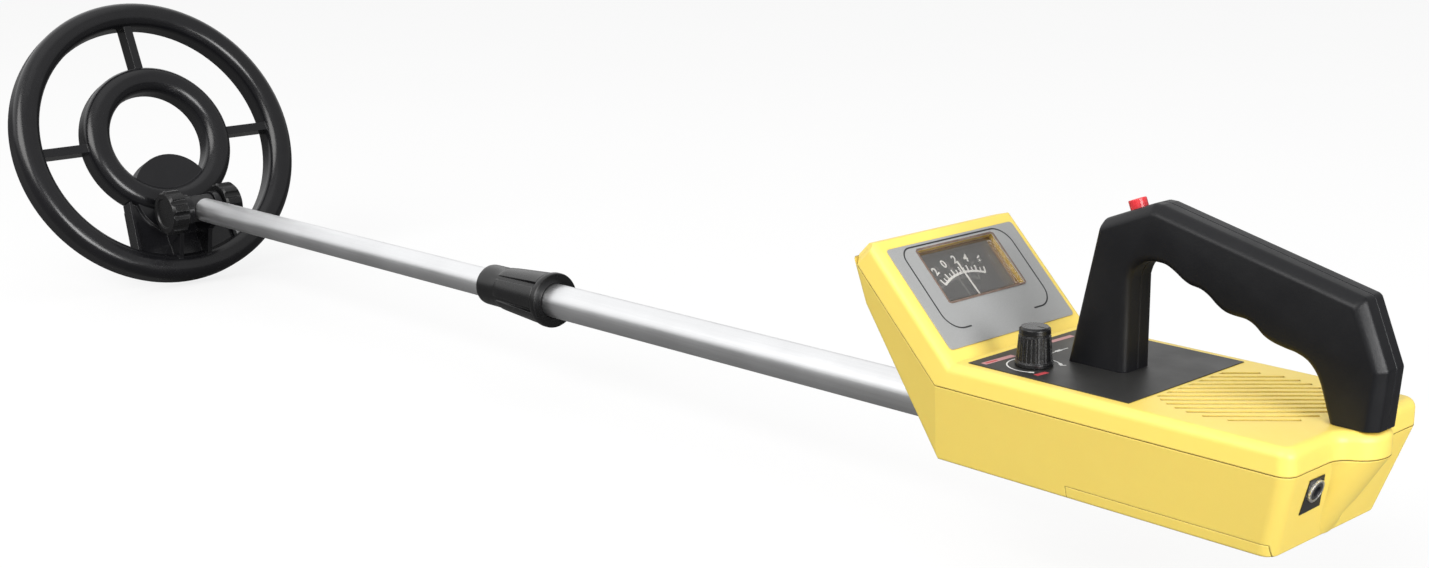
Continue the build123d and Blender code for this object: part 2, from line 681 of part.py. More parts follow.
# ---- electronics ------------------------------------------------------------------------------
BOARD_TOP = -7.4
PART_Z = BOARD_TOP + 0.02    # foot of the parts on the board
# x, y, radius, height
ROUND_PARTS = [
    (14.0, 6.0, 3.1, 6.5), (14.0, 15.0, 2.5, 5.5), (44.0, 20.0, 2.5, 6.0),
    (50.5, 10.0, 3.1, 6.0), (44.5, -14.0, 2.5, 6.0), (20.0, -6.0, 2.5, 5.0),
]
FLATTED_PARTS = [(22.0, -0.5), (52.0, -4.0), (52.0, -12.0)]      # x, y


def circuit_board():
    board = block(9.0, 56.5, -33.0, 33.0, -9.0, BOARD_TOP)
    for x, y in CASE_BOSSES:
        board = board - post(x, y, -12, 4.0, 8)
    return solid_of(board)


def board_components():
    parts = [block(33.0, 41.0, 8.0, 12.0, PART_Z, -3.9),
             block(22.0, 32.0, 16.0, 22.0, PART_Z, -3.9)]
    for x, y, radius, height in ROUND_PARTS:
        parts.append(post(x, y, PART_Z, radius, height))
    for i in range(7):                   # row of small cylinders lying across the board
        parts.append(cross_bar(30.0 + 3.0 * i, -3.0, -6.5, 0.85, 6.0))
    for x, y in FLATTED_PARTS:
        flat = block(x - 3, x + 3, y - 4.0, y - 1.2, -8, 0)
        parts.append(post(x, y, PART_Z, 2.0, 4.2) - flat)
    return parts


def potentiometer_leads():
    return [block(x - 0.5, x + 0.5, KNOB_Y + 9.0, KNOB_Y + 9.8, PART_Z, -3.02)
            for x in (KNOB_X - 5, KNOB_X, KNOB_X + 5)]


# ---- batteries --------------------------------------------------------------------------------
BATTERY_W = 26.5
BATTERY_Y = {"battery_left": -27.2, "battery_right": 0.7}        # left side of each


def battery(y):
    body = block(62.0, 108.5, y, y + BATTERY_W, -27.9, -10.4)
    body = rounded(body, edges_where(body, lambda b, c: b.size.X > 40), 1.6)
    # recessed front end
    body = body - block(60, 62.6, y + 2, y + 24.5, -26.5, -11.8)
    body = solid_of(body + block(62.6, 62.9, y + 2, y + 24.5, -26.5, -11.8))
    body = body + bar((62.7, y + 7.0, -19.2), (-1, 0, 0), 2.9, 2.0)
    return solid_of(body + bar((62.7, y + 19.5, -19.2), (-1, 0, 0), 2.9, 2.0))


def battery_contacts():
    return [block(60.05, 60.65, y + 1.5, y + 25.0, -25.5, -12.8) for y in BATTERY_Y.values()]


# ---- headphone jack ---------------------------------------------------------------------------
JACK_LABEL = [(-25.9, -3.8), (-17.4, -3.8), (-13.2, -15.8), (-24.9, -16.2)]      # y, z
RING_FLUTES = 20


def headphone_jack():
    inward = (-REAR_NORMAL[0], 0, -REAR_NORMAL[2])
    place = frame(jack_point(-2.1), inward, x_dir=(0, 1, 0))
    body = place * Pos(0, 0, 6.0) * Box(9.0, 8.0, 12.0)
    body = body + bar(jack_point(-2.2), REAR_NORMAL, 3.0, 3.4)
    return solid_of(body - bar(jack_point(-13.0), REAR_NORMAL, 1.8, 20))


def jack_ring():
    ring = tube(jack_point(LABEL_T + 0.04), REAR_NORMAL, 3.9, 3.02, 0.9)
    for i in range(RING_FLUTES):
        angle = 2 * pi * i / RING_FLUTES
        origin = jack_point(-1.0, dy=4.0 * cos(angle), up=4.0 * sin(angle))
        ring = ring - bar(origin, REAR_NORMAL, 0.28, 5)
    return solid_of(ring)


def jack_label():
    inner, outer = 0.01, LABEL_T
    corners = [jack_point(inner, dy=y - JACK[1], up=(z - JACK[2]) / REAR_UP[2])
               for y, z in JACK_LABEL]
    outline = make_face(Polyline(corners, close=True))
    label = extrude(outline, amount=outer - inner, dir=REAR_NORMAL)
    return solid_of(label - bar(jack_point(-2), REAR_NORMAL, JACK_HOLE_R, 10))


# ---- screws of the case and the handle feet ---------------------------------------------------
def case_screws():
    return [screw((x, y, -27.4), (0, 0, 1), length=31.0) for x, y in CASE_BOSSES]


def handle_foot_screws():
    front = [screw((x, y, 4.6), (0, 0, 1), length=10.0) for x, y in FRONT_FOOT_HOLES]
    rear = [screw((x, y, 3.6), (0, 0, 1), length=11.0) for x, y in REAR_FOOT_HOLES]
    return front + rear


# ---- stem -------------------------------------------------------------------------------------
UPPER_T0, UPPER_T1 = -42.0, 300.0        # tube ends, distance along the stem
LOWER_T0, LOWER_T1 = 240.0, 598.0
# radius, distance along the stem
SLEEVE_PROFILE = [
    (8.02, 280.0), (8.75, 280.0), (8.75, 314.4), (8.35, 314.8), (7.4, 314.8),
    (7.05, 314.4), (7.05, 300.1), (8.02, 300.1),
]
COLLAR_PROFILE = [
    (9.0, 265.0), (12.4, 265.0), (13.0, 265.6), (13.0, 268.2), (12.2, 269.0), (11.9, 270.0),
    (10.2, 299.0), (9.85, 300.0), (9.8, 313.6), (9.5, 314.6), (9.2, 315.0), (9.0, 315.0),
]
BUSH_PROFILE = [
    (3.0, 231.0), (6.4, 231.0), (7.05, 231.8), (7.05, 239.95), (6.05, 239.95),
    (6.05, 252.0), (3.0, 252.0),
]
COLLAR_GROOVES = 8


def upper_tube():
    return solid_of(STEM * (disc(TUBE_R, UPPER_T1 - UPPER_T0, UPPER_T0)
                            - disc(TUBE_RI, 400, -50)))


def lower_tube():
    return solid_of(STEM * (disc(LOWER_R, LOWER_T1 - LOWER_T0, LOWER_T0)
                            - disc(LOWER_RI, 400, LOWER_T0 - 5)))


def stem_clamp():
    """Bridge over the tube, screwed to the saddle."""
    clamp = block(8, 34, -18, 18, -21.0, -11.0)
    clamp = clamp - STEM * disc(BORE_R, 120, -60)
    clamp = clamp - block(0, 40, -20, -8.9, -17.0, -5) - block(0, 40, 8.9, 20, -17.0, -5)
    clamp = solid_of(clamp & block(0, 60, -12.9, 12.9, -21.0, -11.0))
    for x, y in CLAMP_HOLES:
        clamp = clamp - post(x, y, -22, 1.15, 8)
    return solid_of(clamp)


def clamp_screws():
    return [screw((x, y, -15.4), (0, 0, -1), length=9.0, head_r=1.9, head_h=1.5, shank_r=1.05)
            for x, y in CLAMP_HOLES]


def collet_sleeve():
    return solid_of(STEM * turned(SLEEVE_PROFILE))


def lock_collar():
    collar = STEM * turned(COLLAR_PROFILE)
    groove = Pos(14.2, 0, 284.5) * Rot(0, -3.3, 0) * Box(5.4, 3.4, 27.0)
    for i in range(COLLAR_GROOVES):
        collar = collar - STEM * Rot(0, 0, 360.0 / COLLAR_GROOVES * (i + 0.5)) * groove
    return solid_of(collar)


def stem_guide_bush():
    return solid_of(STEM * turned(BUSH_PROFILE))


def stem_end_fitting():
    fitting = STEM * (disc(6.05, 24.2, 574) + disc(6.5, 7, LOWER_T1 + 0.05))
    fitting = fitting + cross_bar(PIVOT_X, -6.9, PIVOT_Z, 7.9, 13.8)
    fitting = fitting - cross_bar(PIVOT_X, -9, PIVOT_Z, 3.05, 18)
    return solid_of(fitting - STEM * disc(2.2, 31.5, 570))


def coil_cord():
    """Cord from the case to the coil, inside both tubes."""
    return solid_of(STEM * disc(1.9, 640, -46))


# ---- search coil ------------------------------------------------------------------------------
# Two rings joined by spokes and, on the user's side, by a plate with a round cup.
# Local x points forward and up along the coil, local z (w) is its upper normal.
COIL_CENTRE = (-653.1, 0.0, 7.45)
COIL_ANGLE = radians(65.31)
COIL_NORMAL = (sin(COIL_ANGLE), 0, cos(COIL_ANGLE))
COIL_X = (-cos(COIL_ANGLE), 0, sin(COIL_ANGLE))
COIL = Plane(origin=COIL_CENTRE, x_dir=COIL_X, z_dir=COIL_NORMAL).location
SHELL_FOOT, SHELL_TOP = -5.5, 8.0
COVER_FOOT, COVER_TOP = -7.0, SHELL_FOOT - 0.05
RING_RO, RING_RI = 87.6, 72.4
INNER_RO, INNER_RI = 46.0, 30.5
RING_ROUND = 6.4             # rounding of both top edges of the rings
CUP_X = -35.0
_dx, _dz = PIVOT_X - COIL_CENTRE[0], PIVOT_Z - COIL_CENTRE[2]
PIVOT_U = _dx * COIL_X[0] + _dz * COIL_X[2]              # pivot in the coil frame, local x
PIVOT_W = _dx * COIL_NORMAL[0] + _dz * COIL_NORMAL[2]    # and local z
# winding channels, radius and w
OUTER_CHANNEL = [(74.0, -8), (74.0, 1.5), (76.0, 5.0), (80.0, 6.3), (84.0, 5.0), (86.0, 1.5),
                 (86.0, -8)]
INNER_CHANNEL = [(32.1, -8), (32.1, 1.5), (34.1, 5.0), (38.2, 6.3), (42.4, 5.0), (44.4, 1.5),
                 (44.4, -8)]


def wedge(x0, half_w0, x1, half_w1, z0, z1):
    """Plate that widens from x0 to x1."""
    return prism_xy([(x0, -half_w0), (x0, half_w0), (x1, half_w1), (x1, -half_w1)], z0, z1)


def shell_ring(inner_r, outer_r):
    """Ring with both top edges rounded."""
    low, shift = SHELL_TOP - RING_ROUND, RING_ROUND * C45
    inner_c, outer_c = inner_r + RING_ROUND, outer_r - RING_ROUND
    section = [
        Line((inner_r, 0, SHELL_FOOT), (inner_r, 0, low)),
        ThreePointArc((inner_r, 0, low), (inner_c - shift, 0, low + shift),
                      (inner_c, 0, SHELL_TOP)),
        Line((inner_c, 0, SHELL_TOP), (outer_c, 0, SHELL_TOP)),
        ThreePointArc((outer_c, 0, SHELL_TOP), (outer_c + shift, 0, low + shift),
                      (outer_r, 0, low)),
        Line((outer_r, 0, low), (outer_r, 0, SHELL_FOOT)),
        Line((outer_r, 0, SHELL_FOOT), (inner_r, 0, SHELL_FOOT)),
    ]
    return revolve(make_face(section), axis=Axis.Z)


def spokes(r0, r1, half_w, z0, z1):
    """Three bars between the rings: forward and to both sides."""
    return [block(r0, r1, -half_w, half_w, z0, z1),
            block(-half_w, half_w, r0, r1, z0, z1),
            block(-half_w, half_w, -r1, -r0, z0, z1)]


def shell_plate():
    """Plate between the rings, with a recess in its top."""
    plate = disc(RING_RI + 4.0, 9.5, SHELL_FOOT) - disc(INNER_RI + 4.0, 14, SHELL_FOOT - 1)
    plate = plate & wedge(-36.0, 30.0, -80.0, 33.6, SHELL_FOOT, 4.0)
    recess = Pos(0, 0, 1.6) * (disc(RING_RI + 4, 4) - Cylinder(INNER_RI + 4, 10))
    return plate - (recess & wedge(-34.0, 28.2, -82.0, 31.6, 1.6, 5.0))


def pivot_ear(y0, y1):
    ear = prism_xz([(-66.0, 1.0), (-60.2, PIVOT_W), (-43.0, PIVOT_W), (-38.0, 1.0)], y0, y1)
    ear = ear + cross_bar(PIVOT_U, y0, PIVOT_W, 9.2, y1 - y0)
    brace = [(-60.0, 19.0), (-80.0, 4.5), (-80.0, 1.0), (-60.0, 1.0)]
    return ear + prism_xz(brace, y0 + 0.6, y1 - 0.6)


def coil_shell():
    web = union(spokes(40, 76, 2.5, SHELL_FOOT, 3.5))
    cup = Pos(CUP_X, 0, 0) * disc(25.0, 4.2 - SHELL_FOOT, SHELL_FOOT)
    shell = shell_ring(RING_RI, RING_RO) + shell_ring(INNER_RI, INNER_RO)
    shell = shell + web + shell_plate() + cup
    shell = shell + (pivot_ear(-11.2, -7.4) + pivot_ear(7.4, 11.2))
    shell = shell - cross_bar(PIVOT_U, -15, PIVOT_W, 3.05, 30)
    # channels for the windings and hollow of the cup, open below
    cup_hollow = Pos(CUP_X, 0, 0) * disc(22.8, 10.2, -8) & Cylinder(31.0, 60)
    shell = shell - turned(OUTER_CHANNEL) - turned(INNER_CHANNEL) - cup_hollow
    return COIL * solid_of(shell)


def cover_ring(inner_r, outer_r):
    r0, r1 = inner_r + 0.2, outer_r - 0.2
    return turned([(r0, COVER_FOOT), (r1, COVER_FOOT), (r1, COVER_TOP), (r0, COVER_TOP)])


def coil_bottom_cover():
    cover = cover_ring(RING_RI, RING_RO) + cover_ring(INNER_RI, INNER_RO)
    for spoke in spokes(42, 75, 2.3, COVER_FOOT, COVER_TOP):
        cover = cover + spoke
    plate = wedge(-40.0, 30.0, -75.0, 33.0, COVER_FOOT, COVER_TOP)
    cover = cover + (plate & disc(74, 20, -10))
    cover = cover + Pos(CUP_X, 0, 0) * disc(24.8, COVER_TOP - COVER_FOOT, COVER_FOOT)
    return COIL * solid_of(cover)


def winding(outer_r, inner_r):
    return COIL * Pos(0, 0, -0.6) * (disc(outer_r, 6.4, -3.2) - Cylinder(inner_r, 20))


def coil_terminal_board():
    return COIL * block(-28.5, -16.0, -8.0, 8.0, -4.0, -2.6)


# ---- coil pivot -------------------------------------------------------------------------------
GRIP_R, GRIP_Y0, GRIP_Y1 = 13.0, 11.6, 22.6      # knob radius, inner and outer end
# radius, distance from the centre plane
GRIP_PROFILE = [
    (0, GRIP_Y0), (7.0, GRIP_Y0), (7.0, GRIP_Y0 + 0.6), (GRIP_R - 1.0, GRIP_Y0 + 0.6),
    (GRIP_R, GRIP_Y0 + 1.6), (GRIP_R, GRIP_Y1 - 1.5), (GRIP_R - 1.5, GRIP_Y1),
    (9.0, GRIP_Y1), (8.4, GRIP_Y1 - 0.8), (0, GRIP_Y1 - 0.8),
]
GRIP_FLUTES = 10


def bolt_hexagon(y, radius, height):
    """Hexagon on the pivot axis, from y towards the left."""
    return Pos(PIVOT_X, y, PIVOT_Z) * Rot(90, 0, 0) * extrude(RegularPolygon(radius, 6), height)


def pivot_bolt():
    shank = cross_bar(PIVOT_X, -19.0, PIVOT_Z, 3.0, 38.0)
    return solid_of(shank + bolt_hexagon(-17.0, 5.6, 3.6))


def fluted_knob(tilt):
    """Knob on the pivot axis: a tilt of 90 degrees puts it on the left, -90 on the right."""
    knob = turned(GRIP_PROFILE)
    for i in range(GRIP_FLUTES):
        turn = Rot(0, 0, 360 / GRIP_FLUTES * i)
        knob = knob - turn * Pos(GRIP_R + 1.3, 0, 0) * Cylinder(2.7, 80)
    return Location(PIVOT) * Rot(tilt, 0, 0) * knob


def left_pivot_knob():
    knob = fluted_knob(90) - cross_bar(PIVOT_X, -19.2, PIVOT_Z, 3.03, 30)
    return solid_of(knob - bolt_hexagon(-16.95, 5.65, 3.75))


def right_pivot_knob():
    return solid_of(fluted_knob(-90) - cross_bar(PIVOT_X, -10, PIVOT_Z, 3.05, 29.4))


def friction_washers():
    return [tube((PIVOT_X, y, PIVOT_Z), (0, 1, 0), 6.6, 3.1, 0.4) for y in (6.95, -7.35)]


# ---- export: each function's name is the name of its piece ------------------------------------
for build in (
    lower_housing, battery_door, upper_housing, meter_panel, control_panel,
    meter_case, meter_movement, meter_dial, meter_needle, meter_window,
    potentiometer, potentiometer_nut, tuning_shaft, tuning_knob,
    handle_screws, push_button, button_switch, button_spring,
    speaker_frame, speaker_magnet, speaker_cone,
    circuit_board, board_components, potentiometer_leads, battery_contacts,
    headphone_jack, jack_ring, jack_label, case_screws, handle_foot_screws,
    upper_tube, stem_clamp, clamp_screws, collet_sleeve, lock_collar,
    lower_tube, stem_guide_bush, stem_end_fitting, coil_cord,
    coil_shell, coil_bottom_cover, coil_terminal_board,
    pivot_bolt, left_pivot_knob, right_pivot_knob, friction_washers,
):
    write_piece(build.__name__, build())
write_piece("handle_left", handle(-1))
write_piece("handle_right", handle(1))
for name, y in BATTERY_Y.items():
    write_piece(name, battery(y))
write_piece("transmit_winding", winding(84.0, 76.4))
write_piece("receive_winding", winding(42.4, 34.2))
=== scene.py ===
"""Hand-held metal detector: a meter housing with a grip, on a telescopic stem.

The stem runs towards -X and dips slightly, the grip reaches towards +X, Y runs across and Z is up.
Left is -Y. The meter face slopes at 45 degrees and looks towards +X and up.
Shapes are written in millimetres; materials, lights and the floor are in metres.
"""
import bpy, bmesh, json, math
from math import sin, cos, pi, sqrt, radians, hypot, atan2
from mathutils import Vector, Matrix


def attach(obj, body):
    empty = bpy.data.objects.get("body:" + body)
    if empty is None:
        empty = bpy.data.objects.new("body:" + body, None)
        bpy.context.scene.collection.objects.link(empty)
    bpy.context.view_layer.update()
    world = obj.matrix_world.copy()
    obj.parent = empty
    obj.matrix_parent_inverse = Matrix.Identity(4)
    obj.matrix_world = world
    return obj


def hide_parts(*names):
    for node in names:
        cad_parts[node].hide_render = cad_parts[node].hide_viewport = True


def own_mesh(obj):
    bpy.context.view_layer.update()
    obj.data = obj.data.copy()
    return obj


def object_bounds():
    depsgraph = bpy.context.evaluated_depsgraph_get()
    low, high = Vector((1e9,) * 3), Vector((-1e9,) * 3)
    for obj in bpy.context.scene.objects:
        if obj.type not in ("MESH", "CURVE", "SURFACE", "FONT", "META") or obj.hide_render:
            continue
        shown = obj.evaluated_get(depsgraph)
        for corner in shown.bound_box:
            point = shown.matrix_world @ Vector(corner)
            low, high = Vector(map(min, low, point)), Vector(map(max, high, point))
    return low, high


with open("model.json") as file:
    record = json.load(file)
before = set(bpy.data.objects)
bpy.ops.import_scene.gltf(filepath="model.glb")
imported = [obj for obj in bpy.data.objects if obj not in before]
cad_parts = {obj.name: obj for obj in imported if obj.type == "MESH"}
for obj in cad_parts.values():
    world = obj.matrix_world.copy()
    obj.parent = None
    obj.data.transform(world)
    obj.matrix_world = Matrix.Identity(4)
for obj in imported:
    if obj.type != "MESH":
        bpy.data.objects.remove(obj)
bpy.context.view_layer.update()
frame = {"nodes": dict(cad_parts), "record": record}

MM = 0.001
COS_45 = cos(pi / 4)
LIFT = 30.0              # height of the case's parting plane above the origin


# ============================================================================ node helpers
MATERIALS = {}
NOISE_BAND = (0.3, 0.7)  # most noise values fall in this range


class Graph:
    """Adds shader nodes to one node tree."""

    def __init__(self, tree):
        self.tree = tree
        tree.nodes.clear()

    def node(self, kind, inputs=None, **settings):
        """A new node; an input takes a value, an RGB colour or the socket that feeds it."""
        node = self.tree.nodes.new(kind)
        for key, value in settings.items():
            setattr(node, key, value)
        for key, value in (inputs or {}).items():
            socket = node.inputs[key]
            if isinstance(value, bpy.types.NodeSocket):
                self.tree.links.new(value, socket)
            elif socket.type == "RGBA":
                socket.default_value = (*value, 1.0)
            else:
                socket.default_value = value
        return node

    def remap(self, value, source=NOISE_BAND, target=(0.0, 1.0), interpolation="LINEAR"):
        inputs = {"Value": value, "From Min": source[0], "From Max": source[1],
                  "To Min": target[0], "To Max": target[1]}
        node = self.node("ShaderNodeMapRange", inputs, interpolation_type=interpolation)
        return node.outputs["Result"]

    def math(self, operation, a, b):
        return self.node("ShaderNodeMath", {0: a, 1: b}, operation=operation).outputs[0]


class Material(Graph):
    """A new material, kept in MATERIALS under its name."""

    def __init__(self, name):
        self.material = MATERIALS[name] = bpy.data.materials.new(name)
        self.material.use_nodes = True
        super().__init__(self.material.node_tree)
        self.output = self.node("ShaderNodeOutputMaterial")
        self.coords = self.node("ShaderNodeTexCoord").outputs["Object"]

    def noise(self, scale, detail=3.0, roughness=0.55, stretch=None):
        vector = self.coords
        if stretch:
            mapping = self.node("ShaderNodeMapping", {"Vector": vector, "Scale": stretch})
            vector = mapping.outputs["Vector"]
        inputs = {"Scale": scale, "Detail": detail, "Roughness": roughness, "Vector": vector}
        return self.node("ShaderNodeTexNoise", inputs).outputs["Fac"]

    def mix(self, factor, a, b):
        return self.node("ShaderNodeMix", {0: factor, 6: a, 7: b}, data_type="RGBA").outputs[2]

    def bevel(self, radius, samples=6):
        return self.node("ShaderNodeBevel", {"Radius": radius}, samples=samples).outputs["Normal"]

    def edge(self, radius):
        """1 along sharp edges, 0 on flat areas."""
        rounded = self.bevel(radius, samples=4)
        true = self.node("ShaderNodeNewGeometry").outputs["Normal"]
        match = self.node("ShaderNodeVectorMath", {0: rounded, 1: true}, operation="DOT_PRODUCT")
        return self.remap(match.outputs["Value"], source=(1.0, 0.93))

    def bump(self, height, strength, distance, normal=None):
        inputs = {"Strength": strength, "Distance": distance, "Height": height}
        if normal is not None:
            inputs["Normal"] = normal
        return self.node("ShaderNodeBump", inputs).outputs["Normal"]

    def mix_shaders(self, factor, a, b):
        inputs = {0: factor, 1: a.outputs[0], 2: b.outputs[0]}
        return self.node("ShaderNodeMixShader", inputs)

    def surface(self, shader):
        self.tree.links.new(shader.outputs[0], self.output.inputs["Surface"])

    def principled(self, colour, roughness, normal, metallic=0.0, specular=0.5, coat=0.0,
                   subsurface=0.0):
        inputs = {"Base Color": colour, "Roughness": roughness, "Metallic": metallic,
                  "Specular IOR Level": specular, "Coat Weight": coat, "Coat Roughness": 0.1,
                  "Normal": normal}
        if subsurface:
            inputs["Subsurface Weight"] = subsurface
            inputs["Subsurface Radius"] = (0.004, 0.0025, 0.0008)
            inputs["Subsurface Scale"] = 0.5
        self.surface(self.node("ShaderNodeBsdfPrincipled", inputs))


def around(middle, spread):
    return (middle - spread, middle + spread)


def tint(colour, gain, lift=0.0):
    return tuple(min(1.0, c * gain + lift) for c in colour)


def moulded(name, colour, roughness, grain=1300, grain_height=0.00003, strength=0.35,
            bevel=0.0005, dark=0.9, edge_colour=None, edge_gain=0.5, gloss_drift=0.05,
            wave=0.0, specular=0.5, coat=0.0, subsurface=0.0, painted_shade_reach=0.0):
    """Moulded plastic: fine grain, slow colour and gloss drift, sharp edges lighter in patches.

    dark scales the colour in its darker patches, wave is the strength of broad ripples,
    and the last argument sets how far the painted shade reaches into corners, slots and seams.
    """
    m = Material(name)
    slow = m.noise(scale=14.0)
    middle = m.noise(scale=120.0, detail=4.0)
    fine = m.noise(scale=grain, detail=2.5, roughness=0.6)
    shade = m.mix(m.remap(slow), tint(colour, dark), colour)
    flecks = m.remap(middle, source=(0.45, 0.75), target=(0.0, 0.12))
    shade = m.mix(flecks, shade, tint(colour, gain=1.12, lift=0.01))
    if edge_colour is not None:
        edge = m.edge(max(bevel * 1.5, 0.0006))
        patches = m.remap(m.noise(scale=260.0, detail=4.0),
                          source=(0.35, 0.65), target=(0.15, edge_gain))
        shade = m.mix(m.math("MULTIPLY", edge, patches), shade, edge_colour)
    if painted_shade_reach:
        # painted shade: colour darkened in corners, slots and seams that ambient occlusion finds
        occlusion = m.node("ShaderNodeAmbientOcclusion", {"Distance": painted_shade_reach}, samples=6)
        painted_shade = m.remap(occlusion.outputs["AO"], source=(0.30, 0.90), target=(0.85, 0.0))
        shade = m.mix(painted_shade, shade, tuple(c * c * 0.45 for c in colour))
    gloss = m.math("ADD",
                   m.remap(m.noise(scale=38.0, detail=4.0),
                           target=around(roughness, gloss_drift)),
                   m.remap(fine, target=(-0.03, 0.03)))
    normal = m.bevel(bevel)
    if wave:
        normal = m.bump(m.noise(scale=22.0, detail=2.0), wave, distance=0.002, normal=normal)
    normal = m.bump(fine, strength, grain_height, normal)
    m.principled(shade, gloss, normal, specular=specular, coat=coat, subsurface=subsurface)


def metal(name, colour, roughness, streak=None, grain=2200, strength=0.25, gloss_drift=0.06):
    """Bare or plated metal: fine grain, slow gloss drift and, with streak, drawing lines."""
    m = Material(name)
    fine = m.noise(scale=grain, roughness=0.6)
    slow = m.noise(scale=30.0, detail=4.0)
    shade = m.mix(m.remap(slow), tint(colour, gain=0.92), colour)
    gloss = m.remap(slow, target=around(roughness, gloss_drift))
    normal = m.bevel(0.0003)
    if streak:
        lines = m.noise(scale=1.0, detail=4.0, roughness=0.6, stretch=streak)
        amount = m.remap(lines, source=(0.35, 0.7), target=(0.0, 0.35))
        shade = m.mix(amount, shade, tint(colour, gain=1.1))
        gloss = m.math("ADD", gloss, m.remap(lines, target=(-0.05, 0.05)))
        normal = m.bump(lines, strength=0.12, distance=0.00004, normal=normal)
    normal = m.bump(fine, strength, distance=0.00002, normal=normal)
    m.principled(shade, gloss, normal, metallic=1.0)


def label(name, colour, roughness, speck, metallic=0.0):
    """Printed foil or ink with fine light specks."""
    m = Material(name)
    slow = m.noise(scale=18.0)
    fine = m.noise(scale=3200.0, detail=2.0, roughness=0.7)
    shade = m.mix(m.remap(slow), tint(colour, gain=0.95), colour)
    specks = m.remap(fine, source=(0.35, 0.65), target=(0.0, speck))
    shade = m.mix(specks, shade, tint(colour, gain=1.5, lift=0.02))
    gloss = m.math("ADD",
                   m.remap(m.noise(scale=60.0, detail=4.0), target=around(roughness, 0.05)),
                   m.remap(fine, target=(-0.04, 0.04)))
    normal = m.bump(fine, strength=0.25, distance=0.00002, normal=m.bevel(0.00015))
    m.principled(shade, gloss, normal, metallic=metallic)


def battery_can():
    """Dark battery wrap that turns brass-coloured beyond a line across X."""
    m = Material("battery_can")
    x = m.node("ShaderNodeSeparateXYZ", {0: m.coords}).outputs[0]
    band = m.remap(x, source=(0.092, 0.0925))
    shade = m.mix(band, (0.05, 0.055, 0.065), (0.55, 0.36, 0.10))
    scuffs = m.remap(m.noise(scale=90.0, detail=4.0), source=(0.4, 0.7), target=(0.0, 0.2))
    shade = m.mix(scuffs, shade, (0.12, 0.12, 0.13))
    gloss = m.remap(m.noise(scale=60.0), target=(0.25, 0.38))
    normal = m.bump(m.noise(scale=900.0), strength=0.15, distance=0.00003,
                    normal=m.bevel(0.0004))
    m.principled(shade, gloss, normal, metallic=0.6)


def clear_lens():
    """Thin clear window: tinted at its edges, weak reflections, none for shadow rays."""
    m = Material("clear_lens")
    shadow_ray = m.node("ShaderNodeLightPath").outputs["Is Shadow Ray"]
    normal = m.bump(m.noise(scale=160.0, detail=2.0), strength=0.03, distance=0.0004,
                    normal=m.bevel(0.0003))
    fresnel = m.node("ShaderNodeFresnel", {"IOR": 1.49, "Normal": normal})
    gloss = m.remap(m.noise(scale=70.0, detail=4.0), target=(0.02, 0.06))
    glossy = m.node("ShaderNodeBsdfGlossy",
                    {"Roughness": gloss, "Color": (1, 1, 1), "Normal": normal})
    edge_tint = 0.7
    shade = m.mix(m.math("MULTIPLY", m.edge(0.0006), edge_tint),
                  (0.97, 0.965, 0.955), (0.60, 0.50, 0.42))
    transparent = m.node("ShaderNodeBsdfTransparent", {"Color": shade})
    reflection = 0.34
    factor = m.math("MULTIPLY", m.math("MULTIPLY", fresnel.outputs["Fac"], reflection),
                    m.math("SUBTRACT", 1.0, shadow_ray))
    m.surface(m.mix_shaders(factor, transparent, glossy))


# ============================================================================ materials
# name, colour, roughness, then whatever differs from the defaults
# the yellow case gets painted shade in its slots and seams
moulded("yellow_case", (0.93, 0.705, 0.150), 0.42, grain=1500, strength=0.30, bevel=0.0007,
        dark=0.965, edge_colour=(0.97, 0.80, 0.26), subsurface=0.08, edge_gain=0.25,
        painted_shade_reach=0.0028)
moulded("black_handle", (0.0072, 0.0074, 0.0088), 0.40, grain=1700, grain_height=0.00005,
        strength=0.5, bevel=0.0006, dark=0.75, edge_colour=(0.022, 0.023, 0.026),
        gloss_drift=0.06, wave=0.06, specular=0.26)
moulded("black_coil", (0.0085, 0.0085, 0.010), 0.24, grain=900, strength=0.16, dark=0.7,
        edge_colour=(0.03, 0.03, 0.033), wave=0.06)
moulded("black_knob", (0.006, 0.006, 0.0065), 0.28, grain=1100, strength=0.2, bevel=0.0004,
        dark=0.75, edge_colour=(0.05, 0.05, 0.053))
moulded("black_nylon", (0.016, 0.016, 0.017), 0.5, grain=900, strength=0.4, bevel=0.0003,
        edge_colour=(0.04, 0.04, 0.04))
moulded("white_nylon", (0.70, 0.69, 0.64), 0.45, grain=900, strength=0.3, bevel=0.0003,
        edge_colour=(0.8, 0.8, 0.76), subsurface=0.1)
metal("tube_aluminium", (0.84, 0.845, 0.855), 0.38, streak=(6.0, 2200.0, 2200.0), grain=2600,
      strength=0.22, gloss_drift=0.03)
metal("zinc_steel", (0.62, 0.62, 0.62), 0.34)
metal("nickel", (0.90, 0.89, 0.865), 0.42, grain=1500, strength=0.15, gloss_drift=0.05)
moulded("red_button", (0.72, 0.040, 0.050), 0.22, grain=900, strength=0.12, bevel=0.0004,
        dark=0.85, edge_colour=(0.8, 0.12, 0.12), subsurface=0.1, coat=0.15)
moulded("amber_plastic", (0.135, 0.042, 0.020), 0.22, grain=500, strength=0.1, bevel=0.0003,
        dark=0.6, edge_colour=(0.62, 0.32, 0.16), subsurface=0.1)
moulded("dial_face", (0.014, 0.014, 0.014), 0.6, grain=2500, strength=0.3, bevel=0.0002)
moulded("dial_print", (0.90, 0.90, 0.88), 0.55, grain=2500, strength=0.2, bevel=0.0001,
        dark=0.93)
moulded("needle_white", (0.86, 0.86, 0.84), 0.4, grain=2500, strength=0.1, bevel=0.0001,
        dark=0.95)
moulded("pcb_green", (0.02, 0.13, 0.045), 0.3, grain=400, strength=0.2, bevel=0.0002,
        edge_colour=(0.45, 0.40, 0.22))
moulded("component_mix", (0.03, 0.03, 0.035), 0.45, grain=900, strength=0.3, bevel=0.0003)
metal("copper_winding", (0.70, 0.27, 0.12), 0.35, grain=3000, strength=0.6)
